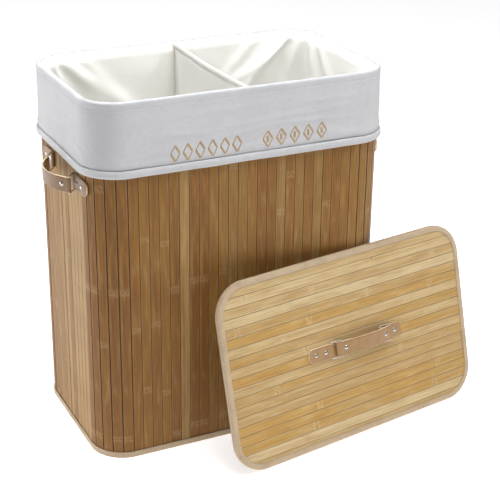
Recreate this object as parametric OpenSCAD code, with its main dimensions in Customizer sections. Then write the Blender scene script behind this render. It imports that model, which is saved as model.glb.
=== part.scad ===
// Two-compartment laundry hamper: a bamboo slat mat bent into a rounded box, a removable
// fold-over cotton liner with a divider, a separate slatted lid leaning on the front wall,
// and three leather handles that swing on rectangular wire rings.
// Frame: origin on the floor at the middle of the footprint, +X to the right, -Y to the front.

/* [Hamper body] */
// Width over the slats
body_w = 520; // [460:5:600]
// Depth over the slats
body_d = 310; // [280:5:360]
// Height to the top of the liner's rim
body_h = 620; // [560:5:700]
// Outer radius of the upright corners
corner_r = 58; // [52:1:66]

/* [Bamboo mat] */
// Number of slats round the body, an even number
slat_count = 90; // [80:2:100]
// Thickness of one slat
slat_t = 3; // [2:0.5:4]
// Gap between neighbouring slats
slat_gap = 0.6; // [0.3:0.1:1.2]
// Thickness of the cloth that the slats are glued to
cloth_t = 1.2; // [0.8:0.1:2]
// Height of the binding tape on the mat's edges
binding_h = 10; // [8:1:14]

/* [Liner] */
// How far the cuff hangs down outside
cuff_h = 120; // [80:5:150]
// Height of the padded hem at the foot of the cuff
hem_h = 12; // [8:1:18]
// Thickness of the liner's cloth, with its lining
liner_t = 1.4; // [1:0.1:2]

/* [Lid] */
// Length of the lid
lid_w = 522; // [500:1:540]
// Depth of the lid
lid_d = 322; // [310:1:340]
// Radius of the lid's corners
lid_r = 57; // [50:1:64]
// Turn of the leaning lid about the vertical
lid_turn = 9.77; // [0:0.01:12]
// Lean of the lid away from upright
lid_lean = 14.2; // [12:0.1:18]
// Place of the lid's foot along the front
lid_foot_x = 182; // [150:1:190]
// Distance of the lid's foot in front of the middle of the footprint
lid_foot_y = 249.4; // [249.4:0.1:270]

/* [Handles] */
// Width of the leather strap
strap_w = 25; // [20:1:28]
// Thickness of one layer of leather
leather_t = 1.5; // [1.2:0.1:1.8]
// Distance between the pivots of a handle's two rings
pivot_span = 107; // [100:1:114]
// Length of a ring, from bar to bar
ring_len = 20; // [18:0.5:22]
// Wire diameter of the rings
wire_d = 2.5; // [2:0.1:2.5]
// Height of the side handles' middle line
side_handle_z = 475; // [440:1:478]
// Forward shift of the side handles
side_handle_shift = 17; // [12:1:18]
// Angle of the side handles' rings from the wall, as they rest
side_ring_angle = 42; // [30:1:90]
// Bow of the side handles' straps
side_bow = 21; // [16:0.5:24]
// Sideways shift of the lid's handle
lid_handle_shift = 7.3; // [0:0.1:8]
// Angle of the lid's rings from the lid, as they rest
lid_ring_angle = 12; // [12:1:90]
// Bow of the lid's strap
lid_bow = 6; // [5:0.5:8]

/* [Hidden] */
$fn = 72;

gap = 0.4;
through = 20;
mat_t = slat_t + cloth_t;
rim_t = 2.8;
mat_top = body_h - rim_t - gap - 0.8;
binding_t = 0.8;
mat_foot = 1;
hoop_d = 4;
hoop_inset = mat_t + 0.2 + binding_t + 0.3 + hoop_d / 2;
bag_inset = hoop_inset + hoop_d / 2 + 0.4;
bag_t = 1.5;
base_cloth_t = 1;
board_t = 3;
bag_floor_z = hoop_d + base_cloth_t + 0.6;
cuff_out = 1.2;

// Lengths along the mat's cloth, from the middle of the front round to the middle of the back
cloth_r = corner_r - slat_t;
half_front = body_w / 2 - corner_r;
side_run = body_d - 2 * corner_r;
quarter = PI / 2 * cloth_r;
pitch = 2 * (2 * half_front + side_run + 2 * quarter) / slat_count;
slat_w = pitch - slat_gap;

bamboo = [0.66, 0.50, 0.34];
cloth_colour = [0.70, 0.62, 0.48];
cotton = [0.88, 0.87, 0.88];
leather = [0.62, 0.45, 0.33];
steel = [0.75, 0.75, 0.76];

// Handle hardware, drawn with X along the strap, Y away from the wall and Z across the strap
bar_r = wire_d / 2;
bore_r = bar_r + 0.05;
loop_r = bore_r + leather_t;
pivot_x = pivot_span / 2;
tab_end = pivot_x + 48.5;
tab_t = 2 * leather_t;
tab_corner = 9;
rivet_near = pivot_x + 12.5;
rivet_far = pivot_x + 33.5;
rivet_r = 3.75;
rivet_h = 1.6;
shank_r = 1.5;
flap = 27;
ring_w = strap_w + 3.5;
pocket = 9;
rivet_from_bar = 13;
side_gap = 0.6;
wrap_from = body_d / 2 - corner_r - side_handle_shift + 4;
wrap_r = corner_r + 0.65;
cap_r = 3;
side_cap_y = -(mat_t + 1.1 + side_gap);

// ---------------------------------------------------------------- helpers

// The hamper's plan, moved inwards by inset
module plan(inset) {
    w = body_w - 2 * inset;
    d = body_d - 2 * inset;
    r = corner_r - inset;
    rounded(w, d, r);
}

module rounded(w, d, r) {
    square([w - 2 * r, d], center = true);
    square([w, d - 2 * r], center = true);
    for (sx = [-1, 1], sy = [-1, 1])
        translate([sx * (w / 2 - r), sy * (d / 2 - r)]) circle(r);
}

module band(outer, inner, z1, z2) {
    translate([0, 0, z1]) linear_extrude(z2 - z1) difference() {
        plan(outer);
        plan(inner);
    }
}

// A closed wire that follows the plan at one inset
module hoop(inset, z, d) {
    r = corner_r - inset;
    x = body_w / 2 - corner_r;
    y = body_d / 2 - corner_r;
    translate([0, 0, z]) {
        for (s = [-1, 1]) {
            translate([-x, s * (y + r), 0]) rotate([0, 90, 0]) cylinder(d = d, h = 2 * x);
            translate([s * (x + r), y, 0]) rotate([90, 0, 0]) cylinder(d = d, h = 2 * y);
        }
        for (k = [0:3])
            translate([(k == 0 || k == 3 ? 1 : -1) * x, (k < 2 ? 1 : -1) * y, 0])
                rotate([0, 0, 90 * k]) rotate_extrude(angle = 90) translate([r, 0]) circle(d = d);
    }
}

// Place and turn of a slat whose middle lies s along the cloth from the middle of the front
function slat_place(s) =
    s <= half_front ? [s, -body_d / 2 + slat_t, 0] :
    s <= half_front + quarter ?
        let (a = (s - half_front) / cloth_r * 180 / PI)
        [half_front + cloth_r * sin(a), -side_run / 2 - cloth_r * cos(a), a] :
    s <= half_front + quarter + side_run ?
        [body_w / 2 - slat_t, -side_run / 2 + s - half_front - quarter, 90] :
    s <= half_front + 2 * quarter + side_run ?
        let (a = (s - half_front - quarter - side_run) / cloth_r * 180 / PI)
        [half_front + cloth_r * cos(a), side_run / 2 + cloth_r * sin(a), 90 + a] :
    [2 * half_front + 2 * quarter + side_run - s, body_d / 2 - slat_t, 180];

// The slats whose middles lie between two distances along the cloth, on the right-hand half
module slats(from, to) {
    for (i = [0:slat_count / 2 - 1]) {
        s = (i + 0.5) * pitch;
        if (s > from && s <= to) {
            p = slat_place(s);
            translate([p[0], p[1], mat_foot]) rotate([0, 0, p[2]])
                translate([-slat_w / 2, -slat_t, 0]) cube([slat_w, slat_t, mat_top - mat_foot]);
        }
    }
}

module both_sides() {
    children();
    mirror([1, 0, 0]) children();
}

module left_handle_place() {
    translate([-body_w / 2, -side_handle_shift, side_handle_z]) rotate([0, 0, 90]) children();
}

// The lid's own plane: X along its length, Y up its depth, Z out of its slatted face
module lid_place() {
    sink = (lid_thick - binding_t) * sin(lid_lean) + 0.05;
    translate([lid_foot_x, -lid_foot_y, sink]) rotate([0, 0, lid_turn])
        rotate([90 - lid_lean, 0, 0]) children();
}

module lid_handle_place() {
    translate([lid_handle_shift, lid_d / 2, 0]) rotate([90, 0, 180]) children();
}

// ---------------------------------------------------------------- handle parts

module tab_profile(wrapped) {
    difference() {
        union() {
            translate([-pivot_x, loop_r]) circle(loop_r);
            translate([-pivot_x - 9, 0]) square([9, tab_t]);
            polygon([[-pivot_x, 2 * loop_r], [-pivot_x - 9, tab_t], [-pivot_x - 9, 0], [-pivot_x, 0]]);
            if (wrapped) {
                translate([-wrap_from, 0]) square([wrap_from - pivot_x - 8, tab_t]);
                translate([-wrap_from, -wrap_r]) difference() {
                    circle(wrap_r + tab_t);
                    circle(wrap_r);
                    translate([0, -2 * wrap_r]) square(4 * wrap_r);
                    translate([-4 * wrap_r, -4 * wrap_r]) square([4 * wrap_r, 4 * wrap_r + 30]);
                }
            } else {
                translate([-tab_end, 0]) square([tab_end - pivot_x - 8, tab_t]);
            }
        }
        translate([-pivot_x, loop_r]) circle(bore_r);
    }
}

// A tab: a strip folded over the ring's bar and riveted down, on the -X side
module tab(wrapped) {
    difference() {
        intersection() {
            translate([0, 0, -strap_w / 2]) linear_extrude(strap_w) tab_profile(wrapped);
            rotate([90, 0, 0]) translate([0, 0, -through]) linear_extrude(2 * through) {
                translate([-tab_end + tab_corner, -strap_w / 2]) square([tab_end, strap_w]);
                translate([-tab_end, -strap_w / 2 + tab_corner])
                    square([tab_end, strap_w - 2 * tab_corner]);
                for (s = [-1, 1])
                    translate([-tab_end + tab_corner, s * (strap_w / 2 - tab_corner)])
                        circle(tab_corner);
            }
        }
        tab_shanks(shank_r + 0.05);
    }
}

// The two rivets' shanks, from outside the tab to inside the mat
module tab_shanks(r) {
    for (x = [rivet_near, rivet_far])
        translate([-x, -through / 2, 0]) rotate([-90, 0, 0]) cylinder(r = r, h = through, $fn = 24);
}

module rivet_head() {
    dome_r = (rivet_r * rivet_r + rivet_h * rivet_h) / (2 * rivet_h);
    rotate([-90, 0, 0]) intersection() {
        cylinder(r = rivet_r, h = rivet_h, $fn = 32);
        translate([0, 0, rivet_h - dome_r]) sphere(dome_r, $fn = 48);
    }
}

module tab_rivets(depth) {
    for (x = [rivet_near, rivet_far])
        translate([-x, tab_t, 0]) {
            rivet_head();
            rotate([90, 0, 0]) cylinder(r = shank_r, h = tab_t + depth, $fn = 24);
        }
}

module tab_caps(y) {
    for (x = [rivet_near, rivet_far])
        translate([-x, y, 0]) rotate([90, 0, 0]) difference() {
            cylinder(r = cap_r, h = 0.8, $fn = 32);
            translate([0, 0, -1]) cylinder(r = shank_r + 0.05, h = 3, $fn = 24);
        }
}

// A rectangular wire ring; its first bar lies on the Z axis and it points along -X
module ring() {
    x = ring_len;
    z = ring_w / 2;
    for (px = [0, -x]) translate([px, 0, -z]) cylinder(r = bar_r, h = 2 * z, $fn = 32);
    for (s = [-1, 1]) {
        translate([-x, 0, s * z]) rotate([0, 90, 0]) cylinder(r = bar_r, h = x, $fn = 32);
        for (px = [0, -x]) translate([px, 0, s * z]) sphere(bar_r, $fn = 32);
    }
}

module placed_ring(side, angle) {
    translate([side * pivot_x, loop_r, 0]) rotate([0, 0, -angle]) ring();
}

// A wedge between two angles, measured from +Y towards +X
module wedge(a1, a2, r) {
    polygon([[0, 0], r * [sin(a1), cos(a1)], r * [sin((a1 + a2) / 2), cos((a1 + a2) / 2)],
        r * [sin(a2), cos(a2)]]);
}

module sector(r1, r2, a1, a2) {
    intersection() {
        difference() {
            circle(r2, $fn = 180);
            circle(r1, $fn = 180);
        }
        wedge(a1, a2, 2 * r2);
    }
}

function bow_r(bow) = (pivot_x * pivot_x + bow * bow) / (2 * bow);
function along(len, bow) = len / bow_r(bow) * 180 / PI;
function end_angle(bow) = asin(pivot_x / bow_r(bow));
function rivet_angles(bow, slack) =
    [-end_angle(bow) + along(rivet_from_bar, bow),
     end_angle(bow) - along(max(rivet_r + loop_r + 0.45, rivet_from_bar - slack), bow)];

// Puts its children at the strap's centre of bend, with the strap's bars on the rings' outer bars
module strap_place(angle, bow) {
    translate([-ring_len * cos(angle), loop_r + ring_len * sin(angle), 0])
        translate([0, bow - bow_r(bow), 0]) children();
}

// A bowed strap with its ends folded over the bars; slack is how far the +X fold reaches past its bar
module strap(angle, bow, slack) {
    r = bow_r(bow);
    a = end_angle(bow);
    f = along(flap, bow);
    e = a + along(slack, bow);
    strap_place(angle, bow) difference() {
        translate([0, 0, -strap_w / 2]) linear_extrude(strap_w) difference() {
            union() {
                sector(r, r + leather_t, -a, e);
                sector(r - leather_t, r, -a, -a + f);
                sector(r - leather_t, r, e - f, e);
                sector(r - loop_r, r + loop_r, a - 0.01, e);
                rotate(a) translate([0, r]) circle(loop_r);
                rotate(-e) translate([0, r]) circle(loop_r);
                rotate(-a) translate([0, r]) circle(loop_r);
            }
            rotate(a) translate([0, r]) circle(bore_r);
            rotate(-a) translate([0, r]) circle(bore_r);
            if (slack > 0) {
                rotate(-e) translate([0, r]) circle(bore_r);
                sector(r - bore_r, r + bore_r, a, e);
            }
        }
        for (t = rivet_angles(bow, slack))
            rotate([0, 0, -t]) translate([0, r + 5, 0]) rotate([90, 0, 0])
                cylinder(r = shank_r + 0.05, h = 10, $fn = 24);
    }
}

module strap_rivets(angle, bow, slack) {
    r = bow_r(bow);
    strap_place(angle, bow)
        for (t = rivet_angles(bow, slack))
            rotate([0, 0, -t]) translate([0, r + leather_t, 0]) {
                rivet_head();
                rotate([90, 0, 0]) cylinder(r = shank_r, h = tab_t + 0.15, $fn = 24);
                translate([0, -tab_t - 0.15, 0]) rotate([90, 0, 0])
                    cylinder(r = cap_r, h = 0.8, $fn = 32);
            }
}

// ---------------------------------------------------------------- bamboo body

front_end = half_front;
corner_end = half_front + quarter;
side_end = corner_end + side_run;
back_corner_end = side_end + quarter;
half_way = pitch * slat_count / 2;

module front_slats() { color(bamboo) both_sides() slats(0, front_end); }
module back_slats() { color(bamboo) both_sides() slats(back_corner_end, half_way); }
module front_right_corner_slats() { color(bamboo) drilled() slats(front_end, corner_end); }
module front_left_corner_slats() { color(bamboo) mirror([1, 0, 0]) front_right_corner_slats(); }
module back_right_corner_slats() { color(bamboo) slats(side_end, back_corner_end); }
module back_left_corner_slats() { color(bamboo) mirror([1, 0, 0]) back_right_corner_slats(); }
module right_slats() { color(bamboo) drilled() slats(corner_end, side_end); }
module left_slats() { color(bamboo) mirror([1, 0, 0]) right_slats(); }

// Takes the right-hand handle's rivet holes out of its children
module drilled() {
    difference() {
        children();
        mirror([1, 0, 0]) left_handle_place() both_sides() tab_shanks(shank_r + 0.05);
    }
}

// The cloth behind the slats, in four flat runs and four corners
module mat_backing() {
    color(cloth_colour) difference() {
        union() {
            for (s = [-1, 1]) {
                translate([-half_front + 0.1, s * (body_d / 2 - slat_t - cloth_t / 2) - cloth_t / 2,
                    mat_foot]) cube([2 * half_front - 0.2, cloth_t, mat_top - mat_foot]);
                translate([s * (body_w / 2 - slat_t - cloth_t / 2) - cloth_t / 2,
                    -side_run / 2 + 0.1, mat_foot])
                    cube([cloth_t, side_run - 0.2, mat_top - mat_foot]);
            }
            for (sx = [0, 1], sy = [0, 1]) mirror([sx, 0, 0]) mirror([0, sy, 0])
                translate([half_front, side_run / 2, mat_foot]) linear_extrude(mat_top - mat_foot)
                    intersection() {
                        difference() {
                            circle(cloth_r);
                            circle(cloth_r - cloth_t);
                        }
                        square(2 * cloth_r);
                    }
        }
        both_sides() left_handle_place() both_sides() tab_shanks(shank_r + 0.05);
    }
}

// A tape folded over one edge of the mat: an outer leaf, an inner leaf and the fold between them
module edge_binding(z_fold, z_leaf) {
    color(cloth_colour) {
        outer = -0.65;
        inner = mat_t + 0.2;
        band(outer - binding_t, outer, min(z_fold, z_leaf), max(z_fold, z_leaf));
        band(inner, inner + binding_t, min(z_fold, z_leaf), max(z_fold, z_leaf));
        band(outer - binding_t, inner + binding_t, min(z_fold, z_fold + sign(z_leaf - z_fold) * 0.7),
            max(z_fold, z_fold + sign(z_leaf - z_fold) * 0.7));
    }
}

module top_binding() { edge_binding(mat_top + 0.75, mat_top - binding_h); }
module bottom_binding() { edge_binding(0, mat_foot + binding_h); }
module top_hoop() { color(steel) hoop(hoop_inset, mat_top - binding_h - 4, hoop_d); }
module bottom_hoop() { color(steel) hoop(hoop_inset, base_cloth_t + 0.2 + hoop_d / 2, hoop_d); }

module base_cloth() {
    color(cloth_colour) linear_extrude(base_cloth_t) plan(mat_t + 0.2 + binding_t + 0.2);
}

module base_board() {
    color([0.45, 0.36, 0.28]) translate([0, 0, base_cloth_t + 0.2])
        linear_extrude(board_t) plan(hoop_inset + hoop_d / 2 + 0.5);
}

// ---------------------------------------------------------------- side handles

module side_tab(front) {
    translate([0, side_gap, 0])
        if (front) tab(true);
        else mirror([1, 0, 0]) tab(false);
}

module left_front_tab() { color(leather) left_handle_place() side_tab(true); }
module left_back_tab() { color(leather) left_handle_place() side_tab(false); }
module right_front_tab() { color(leather) mirror([1, 0, 0]) left_front_tab(); }
module right_back_tab() { color(leather) mirror([1, 0, 0]) left_back_tab(); }

module side_tab_rivets() {
    color(steel) both_sides() left_handle_place() translate([0, side_gap, 0])
        both_sides() tab_rivets(mat_t + 2 * side_gap + 1.5);
}

module side_rivet_caps() {
    color(steel) both_sides() left_handle_place() both_sides() tab_caps(side_cap_y + side_gap);
}

module side_ring(side) {
    color(steel) left_handle_place() translate([0, side_gap, 0])
        placed_ring(side, side_ring_angle);
}

module left_front_ring() { side_ring(-1); }
module left_back_ring() { side_ring(1); }
module right_front_ring() { mirror([1, 0, 0]) side_ring(-1); }
module right_back_ring() { mirror([1, 0, 0]) side_ring(1); }

module left_strap() {
    color(leather) left_handle_place() translate([0, side_gap, 0])
        strap(side_ring_angle, side_bow, 0);
}

module left_strap_rivets() {
    color(steel) left_handle_place() translate([0, side_gap, 0])
        strap_rivets(side_ring_angle, side_bow, 0);
}

module right_strap() { mirror([1, 0, 0]) left_strap(); }
module right_strap_rivets() { mirror([1, 0, 0]) left_strap_rivets(); }

// ---------------------------------------------------------------- liner

// One run of a band: a flat front or back, or an end with its two corners
module run(outer, inner, z1, z2, part) {
    intersection() {
        band(outer, inner, z1, z2);
        x = half_front;
        if (part == "front") translate([-x + 0.1, -body_d, z1 - 1]) cube([2 * x - 0.2, body_d, z2 + 2]);
        else if (part == "back") translate([-x + 0.1, 0, z1 - 1]) cube([2 * x - 0.2, body_d, z2 + 2]);
        else if (part == "left") translate([-x - body_w, -body_d, z1 - 1]) cube([body_w, 2 * body_d, z2 + 2]);
        else translate([x, -body_d, z1 - 1]) cube([body_w, 2 * body_d, z2 + 2]);
    }
}

module liner_wall(part) {
    color(cotton) run(bag_inset, bag_inset + bag_t, bag_floor_z + bag_t + 0.1, body_h - rim_t - 0.1, part);
}

module cuff_wall(part) {
    color(cotton) run(-cuff_out - liner_t, -cuff_out - 0.35, body_h - cuff_h + hem_h + 0.1,
        body_h - rim_t - 0.1, part);
}

module liner_front() { liner_wall("front"); }
module liner_back() { liner_wall("back"); }
module liner_left() { liner_wall("left"); }
module liner_right() { liner_wall("right"); }
module cuff_front() { cuff_wall("front"); }
module cuff_back() { cuff_wall("back"); }
module cuff_left() { cuff_wall("left"); }
module cuff_right() { cuff_wall("right"); }

module liner_floor() {
    color(cotton) translate([0, 0, bag_floor_z]) linear_extrude(bag_t) plan(bag_inset);
}

module liner_divider() {
    w = 3;
    y = body_d / 2 - bag_inset - bag_t - 0.1;
    color(cotton) translate([-w / 2, -y, bag_floor_z + bag_t + 0.1])
        cube([w, 2 * y, body_h - bag_floor_z - bag_t - 1.1]);
}

module liner_rim() {
    color(cotton) band(-cuff_out - liner_t, bag_inset + bag_t, body_h - rim_t, body_h);
}

module cuff_hem() {
    color(cotton) band(-cuff_out - liner_t - 0.6, -cuff_out - 0.35, body_h - cuff_h, body_h - cuff_h + hem_h);
}

// ---------------------------------------------------------------- lid

lid_backing_t = 0.8;
lid_board_t = 3.6;
lid_under_t = 0.8;
lid_core = slat_t + lid_backing_t + lid_board_t + lid_under_t;
lid_thick = lid_core + 2 * binding_t + 0.2;
lid_first_gap = -0.2;
lid_pitch = 16.6;

module lid_plan(inset) {
    translate([0, lid_d / 2]) rounded(lid_w - 2 * inset, lid_d - 2 * inset, lid_r - inset);
}

module lid_plate(z1, z2, inset) {
    translate([0, 0, z1]) linear_extrude(z2 - z1) lid_plan(inset);
}

module lid_drill() {
    lid_handle_place() both_sides() tab_shanks(shank_r + 0.05);
}

module lid_slats() {
    color([0.78, 0.65, 0.42]) lid_place() difference() {
        intersection() {
            lid_plate(-slat_t, 0, binding_t + 0.1);
            for (i = [0:ceil(lid_d / lid_pitch)])
                translate([-lid_w / 2, lid_first_gap + i * lid_pitch + slat_gap / 2, -slat_t])
                    cube([lid_w, lid_pitch - slat_gap, slat_t]);
        }
        lid_drill();
    }
}

module lid_backing() {
    color(cloth_colour) lid_place() difference() {
        lid_plate(-slat_t - lid_backing_t, -slat_t, binding_t + 0.1);
        lid_drill();
    }
}

module lid_board() {
    z = -slat_t - lid_backing_t;
    color([0.45, 0.36, 0.28]) lid_place() difference() {
        lid_plate(z - lid_board_t, z, 6);
        lid_drill();
    }
}

// The wire runs round the board's edge, inside the binding
module lid_edge_wire() {
    inset = 3.6;
    x = lid_w / 2 - lid_r;
    y = lid_d / 2 - lid_r;
    r = lid_r - inset;
    z = -slat_t - lid_backing_t - lid_board_t / 2;
    color(steel) lid_place() translate([0, lid_d / 2, z]) {
        for (s = [-1, 1]) {
            translate([-x, s * (y + r), 0]) rotate([0, 90, 0]) cylinder(d = 3.2, h = 2 * x, $fn = 32);
            translate([s * (x + r), y, 0]) rotate([90, 0, 0]) cylinder(d = 3.2, h = 2 * y, $fn = 32);
        }
        for (k = [0:3])
            translate([(k == 0 || k == 3 ? 1 : -1) * x, (k < 2 ? 1 : -1) * y, 0])
                rotate([0, 0, 90 * k]) rotate_extrude(angle = 90) translate([r, 0]) circle(d = 3.2, $fn = 32);
    }
}

module lid_underside() {
    color(cloth_colour) lid_place() difference() {
        lid_plate(-lid_core, -lid_core + lid_under_t, binding_t + 0.1);
        lid_drill();
    }
}

// A tape folded round the lid's edge, with a leaf on each face
module lid_binding() {
    color(cloth_colour) lid_place() {
        for (z = [[-lid_core - 0.1 - binding_t, -lid_core - 0.1], [0.1, 0.1 + binding_t]])
            translate([0, 0, z[0]]) linear_extrude(z[1] - z[0]) difference() {
                lid_plan(0);
                lid_plan(binding_h);
            }
        translate([0, 0, -lid_core - 0.1 - binding_t]) linear_extrude(lid_core + 0.2 + 2 * binding_t)
            difference() {
                lid_plan(0);
                lid_plan(binding_t);
            }
    }
}

module lid_hardware() {
    lid_place() lid_handle_place() translate([0, 0.05, 0]) children();
}

module lid_right_tab() { color(leather) lid_hardware() tab(false); }
module lid_left_tab() { color(leather) lid_hardware() mirror([1, 0, 0]) tab(false); }
module lid_tab_rivets() { color(steel) lid_hardware() both_sides() tab_rivets(lid_core + 1); }
module lid_rivet_caps() { color(steel) lid_hardware() both_sides() tab_caps(-lid_core - 0.1); }
module lid_right_ring() { color(steel) lid_hardware() placed_ring(-1, lid_ring_angle); }
module lid_left_ring() { color(steel) lid_hardware() placed_ring(1, lid_ring_angle); }
module lid_strap() { color(leather) lid_hardware() strap(lid_ring_angle, lid_bow, pocket); }
module lid_strap_rivets() { color(steel) lid_hardware() strap_rivets(lid_ring_angle, lid_bow, pocket); }

// ---------------------------------------------------------------- nodes

front_slats();
back_slats();
left_slats();
right_slats();
front_left_corner_slats();
front_right_corner_slats();
back_left_corner_slats();
back_right_corner_slats();
mat_backing();
top_binding();
bottom_binding();
top_hoop();
bottom_hoop();
base_cloth();
base_board();
left_front_tab();
left_back_tab();
right_front_tab();
right_back_tab();
side_tab_rivets();
side_rivet_caps();
left_front_ring();
left_back_ring();
left_strap();
left_strap_rivets();
right_front_ring();
right_back_ring();
right_strap();
right_strap_rivets();
liner_front();
liner_back();
liner_left();
liner_right();
liner_floor();
liner_divider();
cuff_front();
cuff_back();
cuff_left();
cuff_right();
liner_rim();
cuff_hem();
lid_slats();
lid_backing();
lid_board();
lid_edge_wire();
lid_underside();
lid_binding();
lid_left_tab();
lid_right_tab();
lid_tab_rivets();
lid_rivet_caps();
lid_left_ring();
lid_right_ring();
lid_strap();
lid_strap_rivets();
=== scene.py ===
# %% [markdown]
# # A two-compartment laundry hamper
# The real hamper is a mat of bamboo slats bent into a rounded box. A cotton bag hangs inside it and folds
# over the edge as a deep cuff. A slatted lid leans on its front, and three leather straps swing on wire
# rings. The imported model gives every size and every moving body. This script only dresses it.

# %% Load the frame
import math

import bmesh
import bpy
import numpy as np
from mathutils import Matrix, Vector, noise


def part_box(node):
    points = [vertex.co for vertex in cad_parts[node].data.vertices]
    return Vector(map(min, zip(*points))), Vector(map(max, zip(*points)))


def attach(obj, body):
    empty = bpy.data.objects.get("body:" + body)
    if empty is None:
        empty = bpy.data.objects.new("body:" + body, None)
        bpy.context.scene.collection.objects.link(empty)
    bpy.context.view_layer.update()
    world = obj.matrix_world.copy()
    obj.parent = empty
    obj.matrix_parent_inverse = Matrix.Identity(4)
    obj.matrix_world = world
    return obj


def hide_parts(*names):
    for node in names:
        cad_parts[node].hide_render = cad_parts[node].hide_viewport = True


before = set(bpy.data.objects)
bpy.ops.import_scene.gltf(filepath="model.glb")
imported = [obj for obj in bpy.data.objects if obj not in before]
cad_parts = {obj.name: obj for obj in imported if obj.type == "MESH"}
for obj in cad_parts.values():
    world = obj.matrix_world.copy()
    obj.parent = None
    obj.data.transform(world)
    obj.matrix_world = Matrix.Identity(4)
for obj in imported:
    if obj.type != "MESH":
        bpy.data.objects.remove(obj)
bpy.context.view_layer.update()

# %% [markdown]
# ## Camera
# The hamper is seen from its front left, from a little above, with a long lens. The camera stands on a line
# from the point that it looks at, at an azimuth and an elevation, and it has a very slight roll.

# %% Camera
AIM = Vector((0.0810, 0.0, 0.2661))
AZIMUTH, ELEVATION, ROLL = math.radians(-26.082), math.radians(23.593), math.radians(0.748)
DISTANCE, LENS, SENSOR = 2.3623, 95.24, 36.0
back = Vector((math.sin(AZIMUTH) * math.cos(ELEVATION), -math.cos(AZIMUTH) * math.cos(ELEVATION),
               math.sin(ELEVATION)))
level = Vector((0, 0, 1)).cross(back).normalized()
upright = back.cross(level)
right = math.cos(ROLL) * level + math.sin(ROLL) * upright
up = math.cos(ROLL) * upright - math.sin(ROLL) * level
camera = bpy.data.objects.new("camera", bpy.data.cameras.new("camera"))
camera.data.lens, camera.data.sensor_width = LENS, SENSOR
turned_to = Matrix((right, up, back)).transposed().to_4x4()
camera.matrix_world = Matrix.Translation(AIM + back * DISTANCE) @ turned_to
bpy.context.scene.collection.objects.link(camera)
bpy.context.scene.camera = camera
print("camera at", [round(x, 3) for x in camera.matrix_world.translation])

# %% [markdown]
# ## Light
# The hamper stands in a white studio. A large soft box low on the left makes that wall bright and leaves the
# corner in half shade. A wide one above fills the bag, a small one from the front right lifts the front, and
# a faint high one shades what is under the hems. White has to stay white, so no film curve is used.

# %% Lamps and surroundings
def lamp(name, kind, power, toward, place=(0, 0, 0), **settings):
    """A lamp of a kind at a place that shines along the direction `toward`."""
    data = bpy.data.lights.new(name, kind)
    data.energy = power
    for key, value in settings.items():
        setattr(data, key, value)
    obj = bpy.data.objects.new(name, data)
    obj.location = place
    obj.rotation_euler = toward.to_track_quat("-Z", "Y").to_euler()
    bpy.context.scene.collection.objects.link(obj)


for name, place, aim, wide, deep, power in (
        ("key_left", (-2.4, 1.7, 0.55), (0, 0, 0.1), 1.5, 1.5, 39),
        ("over_the_bag", (-0.15, -0.05, 1.9), (0, 0.03, 0.4), 2.4, 0.8, 43),
        ("front_right", (1.9, -1.4, 2.5), (0.3, 0, 0.3), 0.6, 0.6, 17)):
    lamp(name, "AREA", power, Vector(aim) - Vector(place), place, shape="RECTANGLE", size=wide, size_y=deep)
lamp("high_soft", "SUN", 0.4, Vector((-0.12, 0.22, -1)), angle=math.radians(45))
world = bpy.data.worlds.new("white_studio")
bpy.context.scene.world = world
world.use_nodes = True
sky = world.node_tree.nodes["Background"].inputs
sky["Color"].default_value = (1, 1, 1, 1)
sky["Strength"].default_value = 0.08
bpy.context.scene.view_settings.view_transform = "Standard"
print("three soft boxes and a faint high light")

# %% [markdown]
# ## Shader arithmetic
# Finishes are easier to read as sums than as boxes and wires. `Val` wraps one socket, and arithmetic on it
# adds Math nodes.

# %% A socket with arithmetic
def maths(operation, flip=False):
    """A method that adds one Math node; flip puts the other value first, as 1 - mask needs."""
    def method(self, *others):
        values = (self, *others)[::-1] if flip else (self, *others)
        return self.finish.node("ShaderNodeMath", {"operation": operation}, dict(enumerate(values)))
    return method


class Val:
    """One socket of a finish, with arithmetic."""

    def __init__(self, finish, socket):
        self.finish = finish
        self.socket = socket

    __add__ = maths("ADD")
    __radd__ = maths("ADD", flip=True)
    __sub__ = maths("SUBTRACT")
    __rsub__ = maths("SUBTRACT", flip=True)
    __mul__ = maths("MULTIPLY")
    __rmul__ = maths("MULTIPLY", flip=True)
    __truediv__ = maths("DIVIDE")
    fract = maths("FRACT")
    sin = maths("SINE")
    abs = maths("ABSOLUTE")
    over = maths("GREATER_THAN")

    def ramp(self, low, high, to_low=0.0, to_high=1.0):
        return self.finish.node("ShaderNodeMapRange", {"interpolation_type": "SMOOTHSTEP"},
                                {0: self, 1: low, 2: high, 3: to_low, 4: to_high})


print("a socket can be added, multiplied and ramped")

# %% [markdown]
# Every other node comes from `Finish.node`, which sets a node up and plugs in its inputs. The methods below
# it are the few nodes that the hamper's finishes need.

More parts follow.
